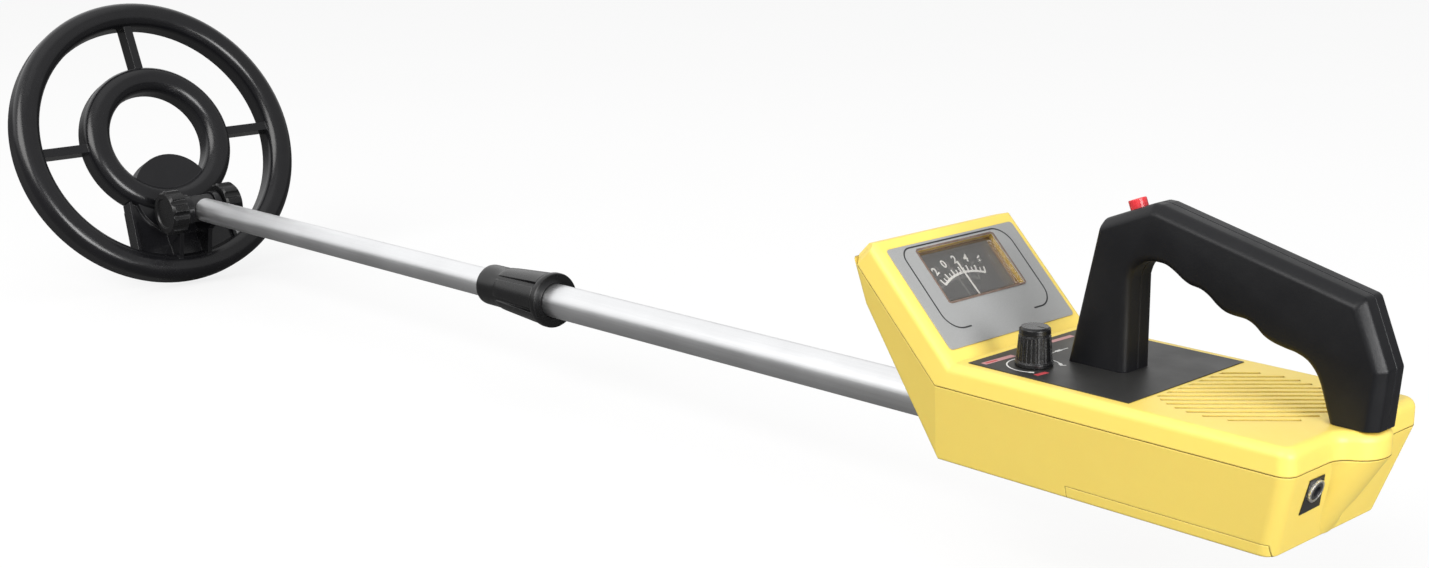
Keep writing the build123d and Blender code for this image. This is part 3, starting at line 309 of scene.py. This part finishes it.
moulded("paper_cone", (0.03, 0.03, 0.03), 0.85, grain=1200, grain_height=0.0001, strength=0.7,
        bevel=0.0003)
# painted highlight: the light edge colour stands for light caught on the window's bevelled clear
# rim
moulded("rim_painted_highlight", (0.13, 0.075, 0.055), 0.16, grain=400, strength=0.08, bevel=0.0003,
        dark=0.7, edge_colour=(0.55, 0.45, 0.38), coat=0.4, edge_gain=0.6)
moulded("ferrite", (0.035, 0.035, 0.038), 0.6, grain=1500, strength=0.5)
moulded("cord_rubber", (0.015, 0.015, 0.016), 0.55, grain=1500, strength=0.4, bevel=0.0002)
label("silver_label", (0.365, 0.37, 0.37), 0.44, metallic=0.30, speck=0.35)
label("black_label", (0.015, 0.015, 0.0142), 0.46, speck=0.5)
label("print_black", (0.02, 0.02, 0.022), 0.45, speck=0.2)
label("print_red", (0.50, 0.05, 0.06), 0.45, speck=0.3)
label("print_pink", (0.50, 0.24, 0.25), 0.45, speck=0.3)
label("print_white", (0.72, 0.72, 0.70), 0.45, speck=0.2)
battery_can()
clear_lens()


def dress_cad_pieces():
    """Give every CAD piece its material and smooth shading."""
    slots = {part["node"]: part["material_slot"] for part in frame["record"]["subparts"]}
    for name, piece in frame["nodes"].items():
        mesh = piece.data
        mesh.materials.clear()
        mesh.materials.append(MATERIALS[slots.get(name, "black_nylon")])
        for face in mesh.polygons:
            face.material_index = 0
            face.use_smooth = True
        mesh.set_sharp_from_angle(angle=radians(32))


dress_cad_pieces()


# ============================================================================ mesh helpers
def add_object(name, data):
    piece = bpy.data.objects.new(name, data)
    bpy.context.scene.collection.objects.link(piece)
    return piece


def make(name, verts, faces, material, smooth, body="housing", replaces=None):
    """A mesh object from millimetre points; edges steeper than smooth degrees stay sharp."""
    mesh = bpy.data.meshes.new(name)
    mesh.from_pydata([Vector(v) * MM for v in verts], [], faces)
    bm = bmesh.new()
    bm.from_mesh(mesh)
    bmesh.ops.remove_doubles(bm, verts=bm.verts, dist=1e-7)
    bmesh.ops.recalc_face_normals(bm, faces=bm.faces)
    bm.to_mesh(mesh)
    bm.free()
    mesh.materials.append(MATERIALS[material])
    for face in mesh.polygons:
        face.use_smooth = True
    mesh.set_sharp_from_angle(angle=radians(smooth))
    piece = add_object(name, mesh)
    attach(piece, body)
    if replaces:
        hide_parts(replaces)
    return piece


def bridge(rings, sides, closed=False):
    """Quads between successive rings of points; closed joins the last ring to the first."""
    faces = []
    for k in range(rings if closed else rings - 1):
        near, far = k * sides, (k + 1) % rings * sides
        for i in range(sides):
            j = (i + 1) % sides
            faces.append((near + i, near + j, far + j, far + i))
    return faces


def inset(points, distances):
    """Each edge of a closed polygon moves inward by its own distance."""
    ahead = points[1:] + points[:1]
    area = sum(x0 * y1 - x1 * y0 for (x0, y0), (x1, y1) in zip(points, ahead))
    turn = 1 if area > 0 else -1
    lines = []
    for (x0, y0), (x1, y1), distance in zip(points, ahead, distances):
        dx, dy = x1 - x0, y1 - y0
        length = hypot(dx, dy)
        lines.append((x0 - dy / length * turn * distance, y0 + dx / length * turn * distance,
                      dx / length, dy / length))
    corners = []
    for i, (bx, by, bdx, bdy) in enumerate(lines):
        ax, ay, adx, ady = lines[i - 1]
        cross = adx * bdy - ady * bdx
        if abs(cross) < 1e-4:    # parallel edges
            corners.append((bx, by))
            continue
        along = ((bx - ax) * bdy - (by - ay) * bdx) / cross
        corners.append((ax + adx * along, ay + ady * along))
    return corners


def round_corner(before, corner, after, radius, steps):
    """steps + 1 points that round the corner, kept within 0.42 of the edges beside it."""
    back = Vector((before[0] - corner[0], before[1] - corner[1]))
    ahead = Vector((after[0] - corner[0], after[1] - corner[1]))
    longest = 0.42 * min(back.length, ahead.length)
    back.normalize()
    ahead.normalize()
    half = back.angle(ahead) / 2
    reach = min(radius / math.tan(half), longest)
    radius = reach * math.tan(half)
    first = Vector(corner) + back * reach
    last = Vector(corner) + ahead * reach
    centre = Vector(corner) + (back + ahead).normalized() * (radius / sin(half))
    start = atan2(first.y - centre.y, first.x - centre.x)
    turn = atan2(last.y - centre.y, last.x - centre.x) - start
    while turn > pi:
        turn -= 2 * pi
    while turn < -pi:
        turn += 2 * pi
    angles = [start + turn * i / steps for i in range(steps + 1)]
    return [(centre.x + radius * cos(a), centre.y + radius * sin(a)) for a in angles]


def catmull(points, steps):
    """Smooth curve through 2D points, with so many steps per span."""
    padded = [points[0]] + list(points) + [points[-1]]
    curve = []
    for i in range(1, len(padded) - 2):
        for j in range(steps):
            t = j / steps
            curve.append(tuple(
                0.5 * ((2 * b) + (-a + c) * t + (2 * a - 5 * b + 4 * c - d) * t * t
                       + (-a + 3 * b - 3 * c + d) * t ** 3)
                for a, b, c, d in zip(*padded[i - 1:i + 3])))
    curve.append(tuple(points[-1]))
    return curve


def polar(centre, radius, degrees):
    angle = radians(degrees)
    return (centre[0] + radius * cos(angle), centre[1] + radius * sin(angle))


def arc(centre, radius, start, end, steps):
    return [polar(centre, radius, start + (end - start) * i / steps) for i in range(steps + 1)]


# ============================================================================ handle halves
HANDLE_REAR_Z, HANDLE_FRONT_Z = 9.02, 9.32     # lower ends, above the parting plane
# (x, z) outside of the grip, from its stem end over the top and down the rear
HANDLE_OUTER = [(32.6, HANDLE_FRONT_Z), (43.9, 61.0), (63.4, 68.95), (66.4, 68.8),
                (140.4, 50.2), (149.4, 28.6), (147.9, HANDLE_REAR_Z)]
CORNER_RADII = (2.4, 2.4, 2.4, 2.2, 2.2)       # at the outer points between the two ends
# (x, z) curved part of the hand opening, from the rear forward
HAND_CURVE = [
    (127.9, 20.2), (126.0, 23.8), (122.9, 27.0), (119.0, 28.7), (115.2, 29.4), (110.5, 30.5),
    (107.0, 32.1), (103.8, 34.7), (100.6, 36.15), (96.0, 36.6), (92.7, 37.3), (89.6, 39.0),
    (86.6, 41.4), (83.4, 43.1), (79.3, 43.9), (76.3, 45.3), (73.3, 47.3), (70.0, 49.0),
    (66.9, 49.45), (63.2, 49.35), (60.0, 48.0), (57.4, 45.6), (56.1, 42.0)]
HAND_OPENING = ([(131.7, HANDLE_REAR_Z), (129.8, 14.6)] + catmull(HAND_CURVE, 4)
                + [(56.2, 26.0), (56.3, HANDLE_FRONT_Z)])
# from the middle seam out to the side: y and inset of the outer edges, inset of the
# stem-end edge, y and inset of the hand opening
HANDLE_LEVELS = [
    (0.05, 0.26, 0.26, 0.05, 0.26), (0.28, 0.0, 0.0, 0.28, 0.0), (2.0, 0.0, 0.0, 2.0, 0.0),
    (3.9, 0.0, 0.0, 4.0, 0.0), (4.5, 0.07, 0.0, 5.0, 0.0), (5.1, 0.34, 0.0, 5.7, 0.083),
    (5.7, 0.84, 0.0, 6.3, 0.296), (6.4, 1.52, 0.04, 6.8, 0.60), (7.0, 2.12, 0.268, 7.25, 1.016),
    (7.45, 2.62, 0.62, 7.6, 1.504), (7.8, 3.15, 1.10, 7.88, 2.16), (8.0, 3.85, 1.75, 8.0, 2.75)]


def handle_half(side, name, replaces):
    """One half of the grip; side is -1 for left (-Y) and 1 for right."""
    last = len(HANDLE_OUTER) - 1
    verts = []
    for outer_y, outer_inset, front_inset, hand_y, hand_inset in HANDLE_LEVELS:
        insets = ([front_inset] + [outer_inset] * (last - 1) + [0.0]
                  + [hand_inset] * (len(HAND_OPENING) - 1) + [0.0])
        points = inset(HANDLE_OUTER + HAND_OPENING, insets)
        outer = [points[0]]
        for i, radius in enumerate(CORNER_RADII, 1):
            outer += round_corner(points[i - 1], points[i], points[i + 1], radius, 5)
        outer.append(points[last])
        verts += [(x, side * outer_y, z + LIFT) for x, z in outer]
        verts += [(x, side * hand_y, z + LIFT) for x, z in points[last + 1:]]
    levels = len(HANDLE_LEVELS)
    sides = len(verts) // levels
    faces = bridge(levels, sides)
    faces += [tuple(range(sides)), tuple(range((levels - 1) * sides, levels * sides))]
    make(name, verts, faces, "black_handle", smooth=34.0, replaces=replaces)


handle_half(-1, "handle_left_skin", "handle_left")
handle_half(1, "handle_right_skin", "handle_right")


# ============================================================================ printed strips
def sloped(s, y, height):
    """Point on the meter slope: s runs up the slope, height stands off it."""
    return (COS_45 * (height - s), y, COS_45 * (height + s) + LIFT)


def deck(x, y, z):
    """Point on the level control panel."""
    return (x, y, z + LIFT)


def strip(name, path, width, place, bottom, top, material, closed=False):
    """Flat line along a 2D path; width is one value or one per point.

    place turns a path point and a height into a 3D point.
    """
    n = len(path)
    left, right = [], []
    for i, (x, y) in enumerate(path):
        if closed:
            before, after = path[i - 1], path[(i + 1) % n]
        else:
            before, after = path[max(i - 1, 0)], path[min(i + 1, n - 1)]
        dx, dy = after[0] - before[0], after[1] - before[1]
        length = hypot(dx, dy)
        here = width[i] if isinstance(width, list) else width
        nx, ny = -dy / length * here / 2, dx / length * here / 2
        left.append((x + nx, y + ny))
        right.append((x - nx, y - ny))
    verts = [place(*point, height) for height in (bottom, top) for point in left + right]
    faces = []
    for i in range(n if closed else n - 1):
        j = (i + 1) % n
        faces += [(2 * n + i, 2 * n + j, 3 * n + j, 3 * n + i), (i, n + i, n + j, j),
                  (i, j, 2 * n + j, 2 * n + i), (n + i, 3 * n + i, 3 * n + j, n + j)]
    if not closed:
        faces += [(0, 2 * n, 3 * n, n), (n - 1, 2 * n - 1, 4 * n - 1, 3 * n - 1)]
    make(name, verts, faces, material, smooth=30.0)


# ---------------------------------------------------------------------------- meter surround
FACE = 11.3                                    # height of the meter face
FRAME_LOW, FRAME_HIGH, FRAME_Y = 13.4, 49.1, 29.3
FRAME_RADIUS, FRAME_SMALL_RADIUS = 7.5, 5.0    # the small one is at the top, on the -Y side
RIM_LOW, RIM_HIGH, RIM_Y = 24.0, 47.6, 21.7


def meter_frame_line():
    """Dark line around the meter, open along the bottom."""
    big, small = FRAME_RADIUS, FRAME_SMALL_RADIUS
    path = [(FRAME_LOW, -18.5)]
    path += arc((FRAME_LOW + big, -FRAME_Y + big), big, 180, 270, 10)
    path += arc((FRAME_HIGH - small, -FRAME_Y + small), small, 270, 360, 10)
    path += arc((FRAME_HIGH - big, FRAME_Y - big), big, 0, 90, 10)
    path += arc((FRAME_LOW + big, FRAME_Y - big), big, 90, 180, 10)
    path.append((FRAME_LOW, 17.5))
    strip("meter_frame_line", path, 0.62, sloped, FACE - 0.05, FACE + 0.03,
          "print_black")


def window_rim():
    """Raised rim around the clear window; its light edges are a painted highlight for the bevelled
    clear rim catching the light.
    """
    corners = [(RIM_LOW, -RIM_Y), (RIM_HIGH, -RIM_Y), (RIM_HIGH, RIM_Y), (RIM_LOW, RIM_Y)]
    path = []
    for (s0, y0), (s1, y1) in zip(corners, corners[1:] + corners[:1]):
        path += [(s0 + (s1 - s0) * t, y0 + (y1 - y0) * t) for t in (0.02, 0.5, 0.98)]
    strip("window_rim", path, 0.75, sloped, FACE - 0.2, FACE + 0.22,
          "rim_painted_highlight", closed=True)


meter_frame_line()
window_rim()

# ---------------------------------------------------------------------------- dial
DIAL = 7.0                                     # height of the dial face
DIAL_CENTRE = (9.0, -0.2)                      # (s, y)
SCALE_START, SCALE_END = -27.5, 23.0           # degrees, from up the slope towards +Y
TICKS = 13
NUMERALS = (("2", -24.0), ("0", -12.5), ("2", -1.0), ("4", 9.5), ("6", 21.0))  # text, degrees
NUMERAL_RADIUS, NUMERAL_SIZE = 33.2, 4.7


def dial_strip(name, path, width):
    strip(name, path, width, sloped, DIAL - 0.02, DIAL + 0.05, "dial_print")


def dial_scale():
    dial_strip("dial_scale_arc", arc(DIAL_CENTRE, 27.4, SCALE_START, SCALE_END, 40), 0.95)
    for i in range(TICKS):
        degrees = SCALE_START + (SCALE_END - SCALE_START) * i / (TICKS - 1)
        outer_radius, width = (30.1, 0.75) if i % 2 == 0 else (29.3, 0.55)
        path = [polar(DIAL_CENTRE, radius, degrees) for radius in (27.3, outer_radius)]
        dial_strip("dial_tick_%02d" % i, path, width)


def numeral(name, text, degrees):
    curve = bpy.data.curves.new(name, "FONT")
    curve.body = text
    curve.size = NUMERAL_SIZE * MM
    curve.extrude = 0.00003
    curve.offset = 0.00011
    curve.align_x = "CENTER"
    curve.align_y = "CENTER"
    curve.materials.append(MATERIALS["dial_print"])
    lettering = add_object(name, curve)
    slope_axes = Matrix(((0, 1, 0), (-COS_45, 0, COS_45), (COS_45, 0, COS_45))).transposed()
    turn = slope_axes.to_4x4() @ Matrix.Rotation(radians(-degrees), 4, "Z")
    place = Vector(sloped(*polar(DIAL_CENTRE, NUMERAL_RADIUS, degrees), DIAL + 0.04)) * MM
    lettering.matrix_world = Matrix.Translation(place) @ turn
    bpy.context.view_layer.update()
    depsgraph = bpy.context.evaluated_depsgraph_get()
    mesh = bpy.data.meshes.new_from_object(lettering.evaluated_get(depsgraph))
    # made while the lettering still holds the name, so its own name gains a suffix
    piece = bpy.data.objects.new(name, mesh)
    piece.matrix_world = lettering.matrix_world.copy()
    bpy.context.scene.collection.objects.link(piece)
    bpy.data.objects.remove(lettering)
    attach(piece, "housing")


dial_scale()
for index, (text, degrees) in enumerate(NUMERALS):
    numeral("dial_number_%d" % index, text, degrees)

# ---------------------------------------------------------------------------- control panel
PANEL = 9.3                                    # height of the panel above the parting plane
# the ring mark is wider over three points at each end
RING_WIDTHS = [0.55 + (0.75 if i < 3 or i > 57 else 0.0) for i in range(61)]
# name, path of (x, y), width, rise above the panel, material
PANEL_MARKS = [
    ("tuning_ring_mark", arc((28.0, -20.5), 9.3, -52, -314, 60), RING_WIDTHS, 0.03,
     "print_white"),
    ("red_bar_left", [(14.9, -31.8), (15.6, -16.0)], 2.5, 0.03, "print_pink"),
    ("red_bar_left_core", [(14.9, -30.5), (15.2, -24.8)], 1.1, 0.05, "print_red"),
    ("red_bar_right", [(13.7, 7.6), (14.2, 20.0)], 2.3, 0.03, "print_pink"),
    ("red_mark", [(36.2, -30.2), (36.7, -24.6)], 2.0, 0.03, "print_red"),
    ("white_line_right", [(23.5, -9.0), (23.2, -5.0), (22.9, 0.0), (23.1, 5.4)], 0.5, 0.03,
     "print_white"),
    ("white_dot_right", [(22.9, -1.4), (22.9, 1.6)], 1.4, 0.04, "print_white"),
    ("white_line_rear", [(34.6, -14.6), (36.1, -13.0)], 0.45, 0.03, "print_white"),
]
for name, path, width, rise, material in PANEL_MARKS:
    strip(name, path, width, deck, PANEL - 0.05, PANEL + rise, material)


# ============================================================================ twist collar
STEM_SLOPE = 0.0119                            # drop per unit of run
STEM_LENGTH_PER_RUN = sqrt(1 + STEM_SLOPE * STEM_SLOPE)
STEM_AXIS = Vector((-1 / STEM_LENGTH_PER_RUN, 0, -STEM_SLOPE / STEM_LENGTH_PER_RUN))
STEM_ORIGIN = Vector((0, 0, -20.52 + LIFT))


def on_axis(origin, axis, along, radius, angle):
    """Point at a distance along an axis and a radius and angle around it, from +Y."""
    across = Vector((0, 1, 0))
    upward = axis.cross(across)
    return tuple(origin + axis * along + (across * cos(angle) + upward * sin(angle)) * radius)


def stem(along, radius, angle):
    return on_axis(STEM_ORIGIN, STEM_AXIS, along, radius, angle)


COLLAR_SIDES = 192
COLLAR_PADS = 6
PAD_END = 301.0                                # distance along the stem where the pads stop
# distance along the stem, radius, share of the pad height; the last two line the bore
COLLAR_PROFILE = [
    (267.0, 8.12, 0), (265.4, 8.3, 0), (265.05, 8.9, 0), (265.0, 12.2, 0), (265.15, 12.7, 0),
    (265.7, 12.98, 0), (267.6, 13.0, 0), (268.4, 12.85, 0), (268.9, 12.3, 0),
    (269.2, 11.3, 0.55), (269.5, 10.9, 0.95), (270.2, 10.75, 1.0), (275.0, 10.62, 1.0),
    (280.0, 10.48, 1.0), (285.0, 10.34, 1.0), (290.0, 10.2, 1.0), (294.0, 10.08, 1.0),
    (297.0, 10.0, 1.0), (299.0, 9.94, 0.9), (300.0, 9.9, 0.55), (300.6, 9.88, 0.2),
    (301.2, 9.86, 0.0), (306.0, 9.82, 0), (312.0, 9.8, 0), (313.6, 9.76, 0), (314.4, 9.6, 0),
    (314.85, 9.3, 0), (315.0, 8.8, 0), (315.0, 7.4, 0), (314.8, 7.14, 0), (313.9, 7.12, 0),
    (313.9, 8.85, 0), (267.0, 8.85, 0)]


def collar():
    """Ring around the stem with raised pads that fade along it."""
    verts = []
    for along, radius, share in COLLAR_PROFILE:
        height = 1.25 * max(0.0, (PAD_END - along) / 31.0) + 0.42
        for i in range(COLLAR_SIDES):
            angle = 2 * pi * i / COLLAR_SIDES
            turn = (angle / (2 * pi) * COLLAR_PADS + 0.27) % 1.0
            inward = min(turn, 1 - turn) * 2   # 0 between pads, 1 at the middle of a pad
            flank = min(1.0, max(0.0, (inward - 0.16) / 0.06))
            flank = flank * flank * (3 - 2 * flank)
            verts.append(stem(along, radius + share * height * flank, angle))
    faces = bridge(len(COLLAR_PROFILE), COLLAR_SIDES, closed=True)
    make("collar_skin", verts, faces, "black_knob", smooth=38.0, body="collar",
         replaces="lock_collar")


collar()


# ============================================================================ lead and spring
LEAD_START, LEAD_LENGTH, LEAD_SHORTENED = -45.9, 639.8, 459.8
LEAD_POINTS, LEAD_POINTS_PER_TURN = 320, 19
BUTTON_TILT = radians(22.2)
BUTTON_AXIS = Vector((-sin(BUTTON_TILT), 0, cos(BUTTON_TILT)))
BUTTON_ORIGIN = Vector((54.4, 0, 65.4 + LIFT))
SPRING_START, SPRING_RISE, SPRING_TURNS, SPRING_STEPS = -8.3, 4.1, 5.2, 160


def sweep(name, path, radius, sides, material, replaces):
    """A round wire along a path of points, closed at both ends."""
    points = [Vector(p) for p in path]
    verts = []
    side = (points[1] - points[0]).orthogonal().normalized()
    for i, point in enumerate(points):
        heading = (points[min(i + 1, len(points) - 1)] - points[max(i - 1, 0)]).normalized()
        side = (side - heading * side.dot(heading)).normalized()
        other = heading.cross(side)
        for j in range(sides):
            angle = 2 * pi * j / sides
            verts.append(tuple(point + (side * cos(angle) + other * sin(angle)) * radius))
    faces = bridge(len(points), sides)
    faces.append(tuple(range(sides))[::-1])
    faces.append(tuple(range((len(points) - 1) * sides, len(points) * sides)))
    return make(name, verts, faces, material, smooth=50.0, replaces=replaces)


def coil_lead():
    """Slack spiral lead in the tubes."""
    path = [stem(LEAD_START + LEAD_LENGTH * i / (LEAD_POINTS - 1), 0.72,
                 2 * pi * i / LEAD_POINTS_PER_TURN) for i in range(LEAD_POINTS)]
    lead = sweep("coil_lead", path, 1.12, 12, "cord_rubber", "coil_cord")
    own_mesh(lead)


def button_spring():
    """Compression spring under the push button, with flat end turns."""
    path = []
    for i in range(SPRING_STEPS + 1):
        share = i / SPRING_STEPS
        along = SPRING_START + SPRING_RISE * min(1.0, max(0.0, (share - 0.12) / 0.76))
        angle = 2 * pi * SPRING_TURNS * share
        path.append(on_axis(BUTTON_ORIGIN, BUTTON_AXIS, along, 2.95, angle))
    spring = sweep("button_coil_spring", path, 0.3, 10, "zinc_steel", "button_spring")
    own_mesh(spring)


coil_lead()
button_spring()


# ============================================================================ floor
FLOOR_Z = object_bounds()[0][2] - 0.0003
FLOOR_HALF = 40.0


def floor_material():
    """Near-white to the camera, dark grey to every other ray."""
    m = Material("floor_white")
    camera_ray = m.node("ShaderNodeLightPath").outputs["Is Camera Ray"]
    tone = m.remap(m.noise(scale=3.0))
    paper = m.node("ShaderNodeBsdfDiffuse", {
        "Color": m.mix(tone, (0.90, 0.90, 0.90), (0.92, 0.92, 0.92)),
        "Normal": m.bump(m.noise(scale=400.0), strength=0.05, distance=0.0002)})
    glow = m.node("ShaderNodeEmission", {"Strength": 1.0})
    glow_share = 0.80
    seen = m.mix_shaders(glow_share, paper, glow)
    bounce = m.node("ShaderNodeBsdfDiffuse", {"Color": (0.15, 0.15, 0.15)})
    m.surface(m.mix_shaders(camera_ray, bounce, seen))
    return m.material


def floor():
    mesh = bpy.data.meshes.new("floor")
    corners = [(-1, -1), (1, -1), (1, 1), (-1, 1)]
    mesh.from_pydata([(x * FLOOR_HALF, y * FLOOR_HALF, FLOOR_Z) for x, y in corners],
                     [], [(0, 1, 2, 3)])
    mesh.materials.append(floor_material())
    add_object("floor", mesh)


floor()


# ============================================================================ light
def studio_world():
    """Soft light from above, brighter towards -X, dark below; plain white to the camera."""
    world = bpy.data.worlds.new("studio")
    bpy.context.scene.world = world
    world.use_nodes = True
    g = Graph(world.node_tree)
    direction = g.node("ShaderNodeTexCoord").outputs["Generated"]
    axes = g.node("ShaderNodeSeparateXYZ", {0: direction}).outputs
    above = g.remap(axes[2], source=(-0.02, 0.22), interpolation="SMOOTHSTEP")
    side = g.remap(axes[0], source=(0.15, -0.75), target=(0.46, 1.10),
                   interpolation="SMOOTHSTEP")
    least = 0.02
    sky = g.math("ADD", g.math("MULTIPLY", above, side), least)
    camera_ray = g.node("ShaderNodeLightPath").outputs["Is Camera Ray"]
    unseen = g.math("MULTIPLY", sky, g.math("SUBTRACT", 1.0, camera_ray))
    background = g.node("ShaderNodeBackground", {
        "Color": (1.0, 1.0, 1.0), "Strength": g.math("ADD", unseen, camera_ray)})
    g.node("ShaderNodeOutputWorld", {"Surface": background.outputs[0]})


def area_light(name, location, target, width, height, power, colour=(1, 1, 1)):
    light = bpy.data.lights.new(name, "AREA")
    light.energy = power
    light.color = colour
    light.shape = "RECTANGLE"
    light.size = width
    light.size_y = height
    lamp = add_object(name, light)
    lamp.location = location
    aim = Vector(target) - Vector(location)
    lamp.rotation_euler = aim.to_track_quat("-Z", "Y").to_euler()


studio_world()
area_light("key", location=(0.05, -1.75, 1.25), target=(-0.1, 0, 0.03),
           width=1.9, height=1.2, power=35.0, colour=(1.0, 0.99, 0.975))
area_light("top", location=(-0.1, 0.1, 1.9), target=(-0.1, 0, 0),
           width=1.6, height=1.6, power=3.0)
area_light("right", location=(1.75, -0.45, 0.35), target=(0.12, 0, 0.04),
           width=1.0, height=1.0, power=36.0)

# ============================================================================ camera
CAMERA_PLACE = Vector((415.25520607, -530.26552275, 222.78986065)) * MM
CAMERA_RIGHT = Vector((0.68207549, 0.73121669, -0.00975634))
CAMERA_DOWN = Vector((0.1665549, -0.16832475, -0.97155867))
CAMERA_FORWARD = Vector((-0.71206214, 0.66105139, -0.23659791))


def camera():
    lens = bpy.data.cameras.new("camera")
    lens.sensor_fit = "HORIZONTAL"
    lens.sensor_width = 36.0
    lens.lens = 47.837129
    lens.clip_start = 0.01
    lens.clip_end = 200.0
    pose = Matrix((CAMERA_RIGHT, -CAMERA_DOWN, -CAMERA_FORWARD)).transposed().to_4x4()
    pose.translation = CAMERA_PLACE
    viewer = add_object("camera", lens)
    viewer.matrix_world = pose
    bpy.context.scene.camera = viewer


camera()
bpy.context.scene.view_settings.view_transform = "Standard"
bpy.context.scene.view_settings.look = "None"
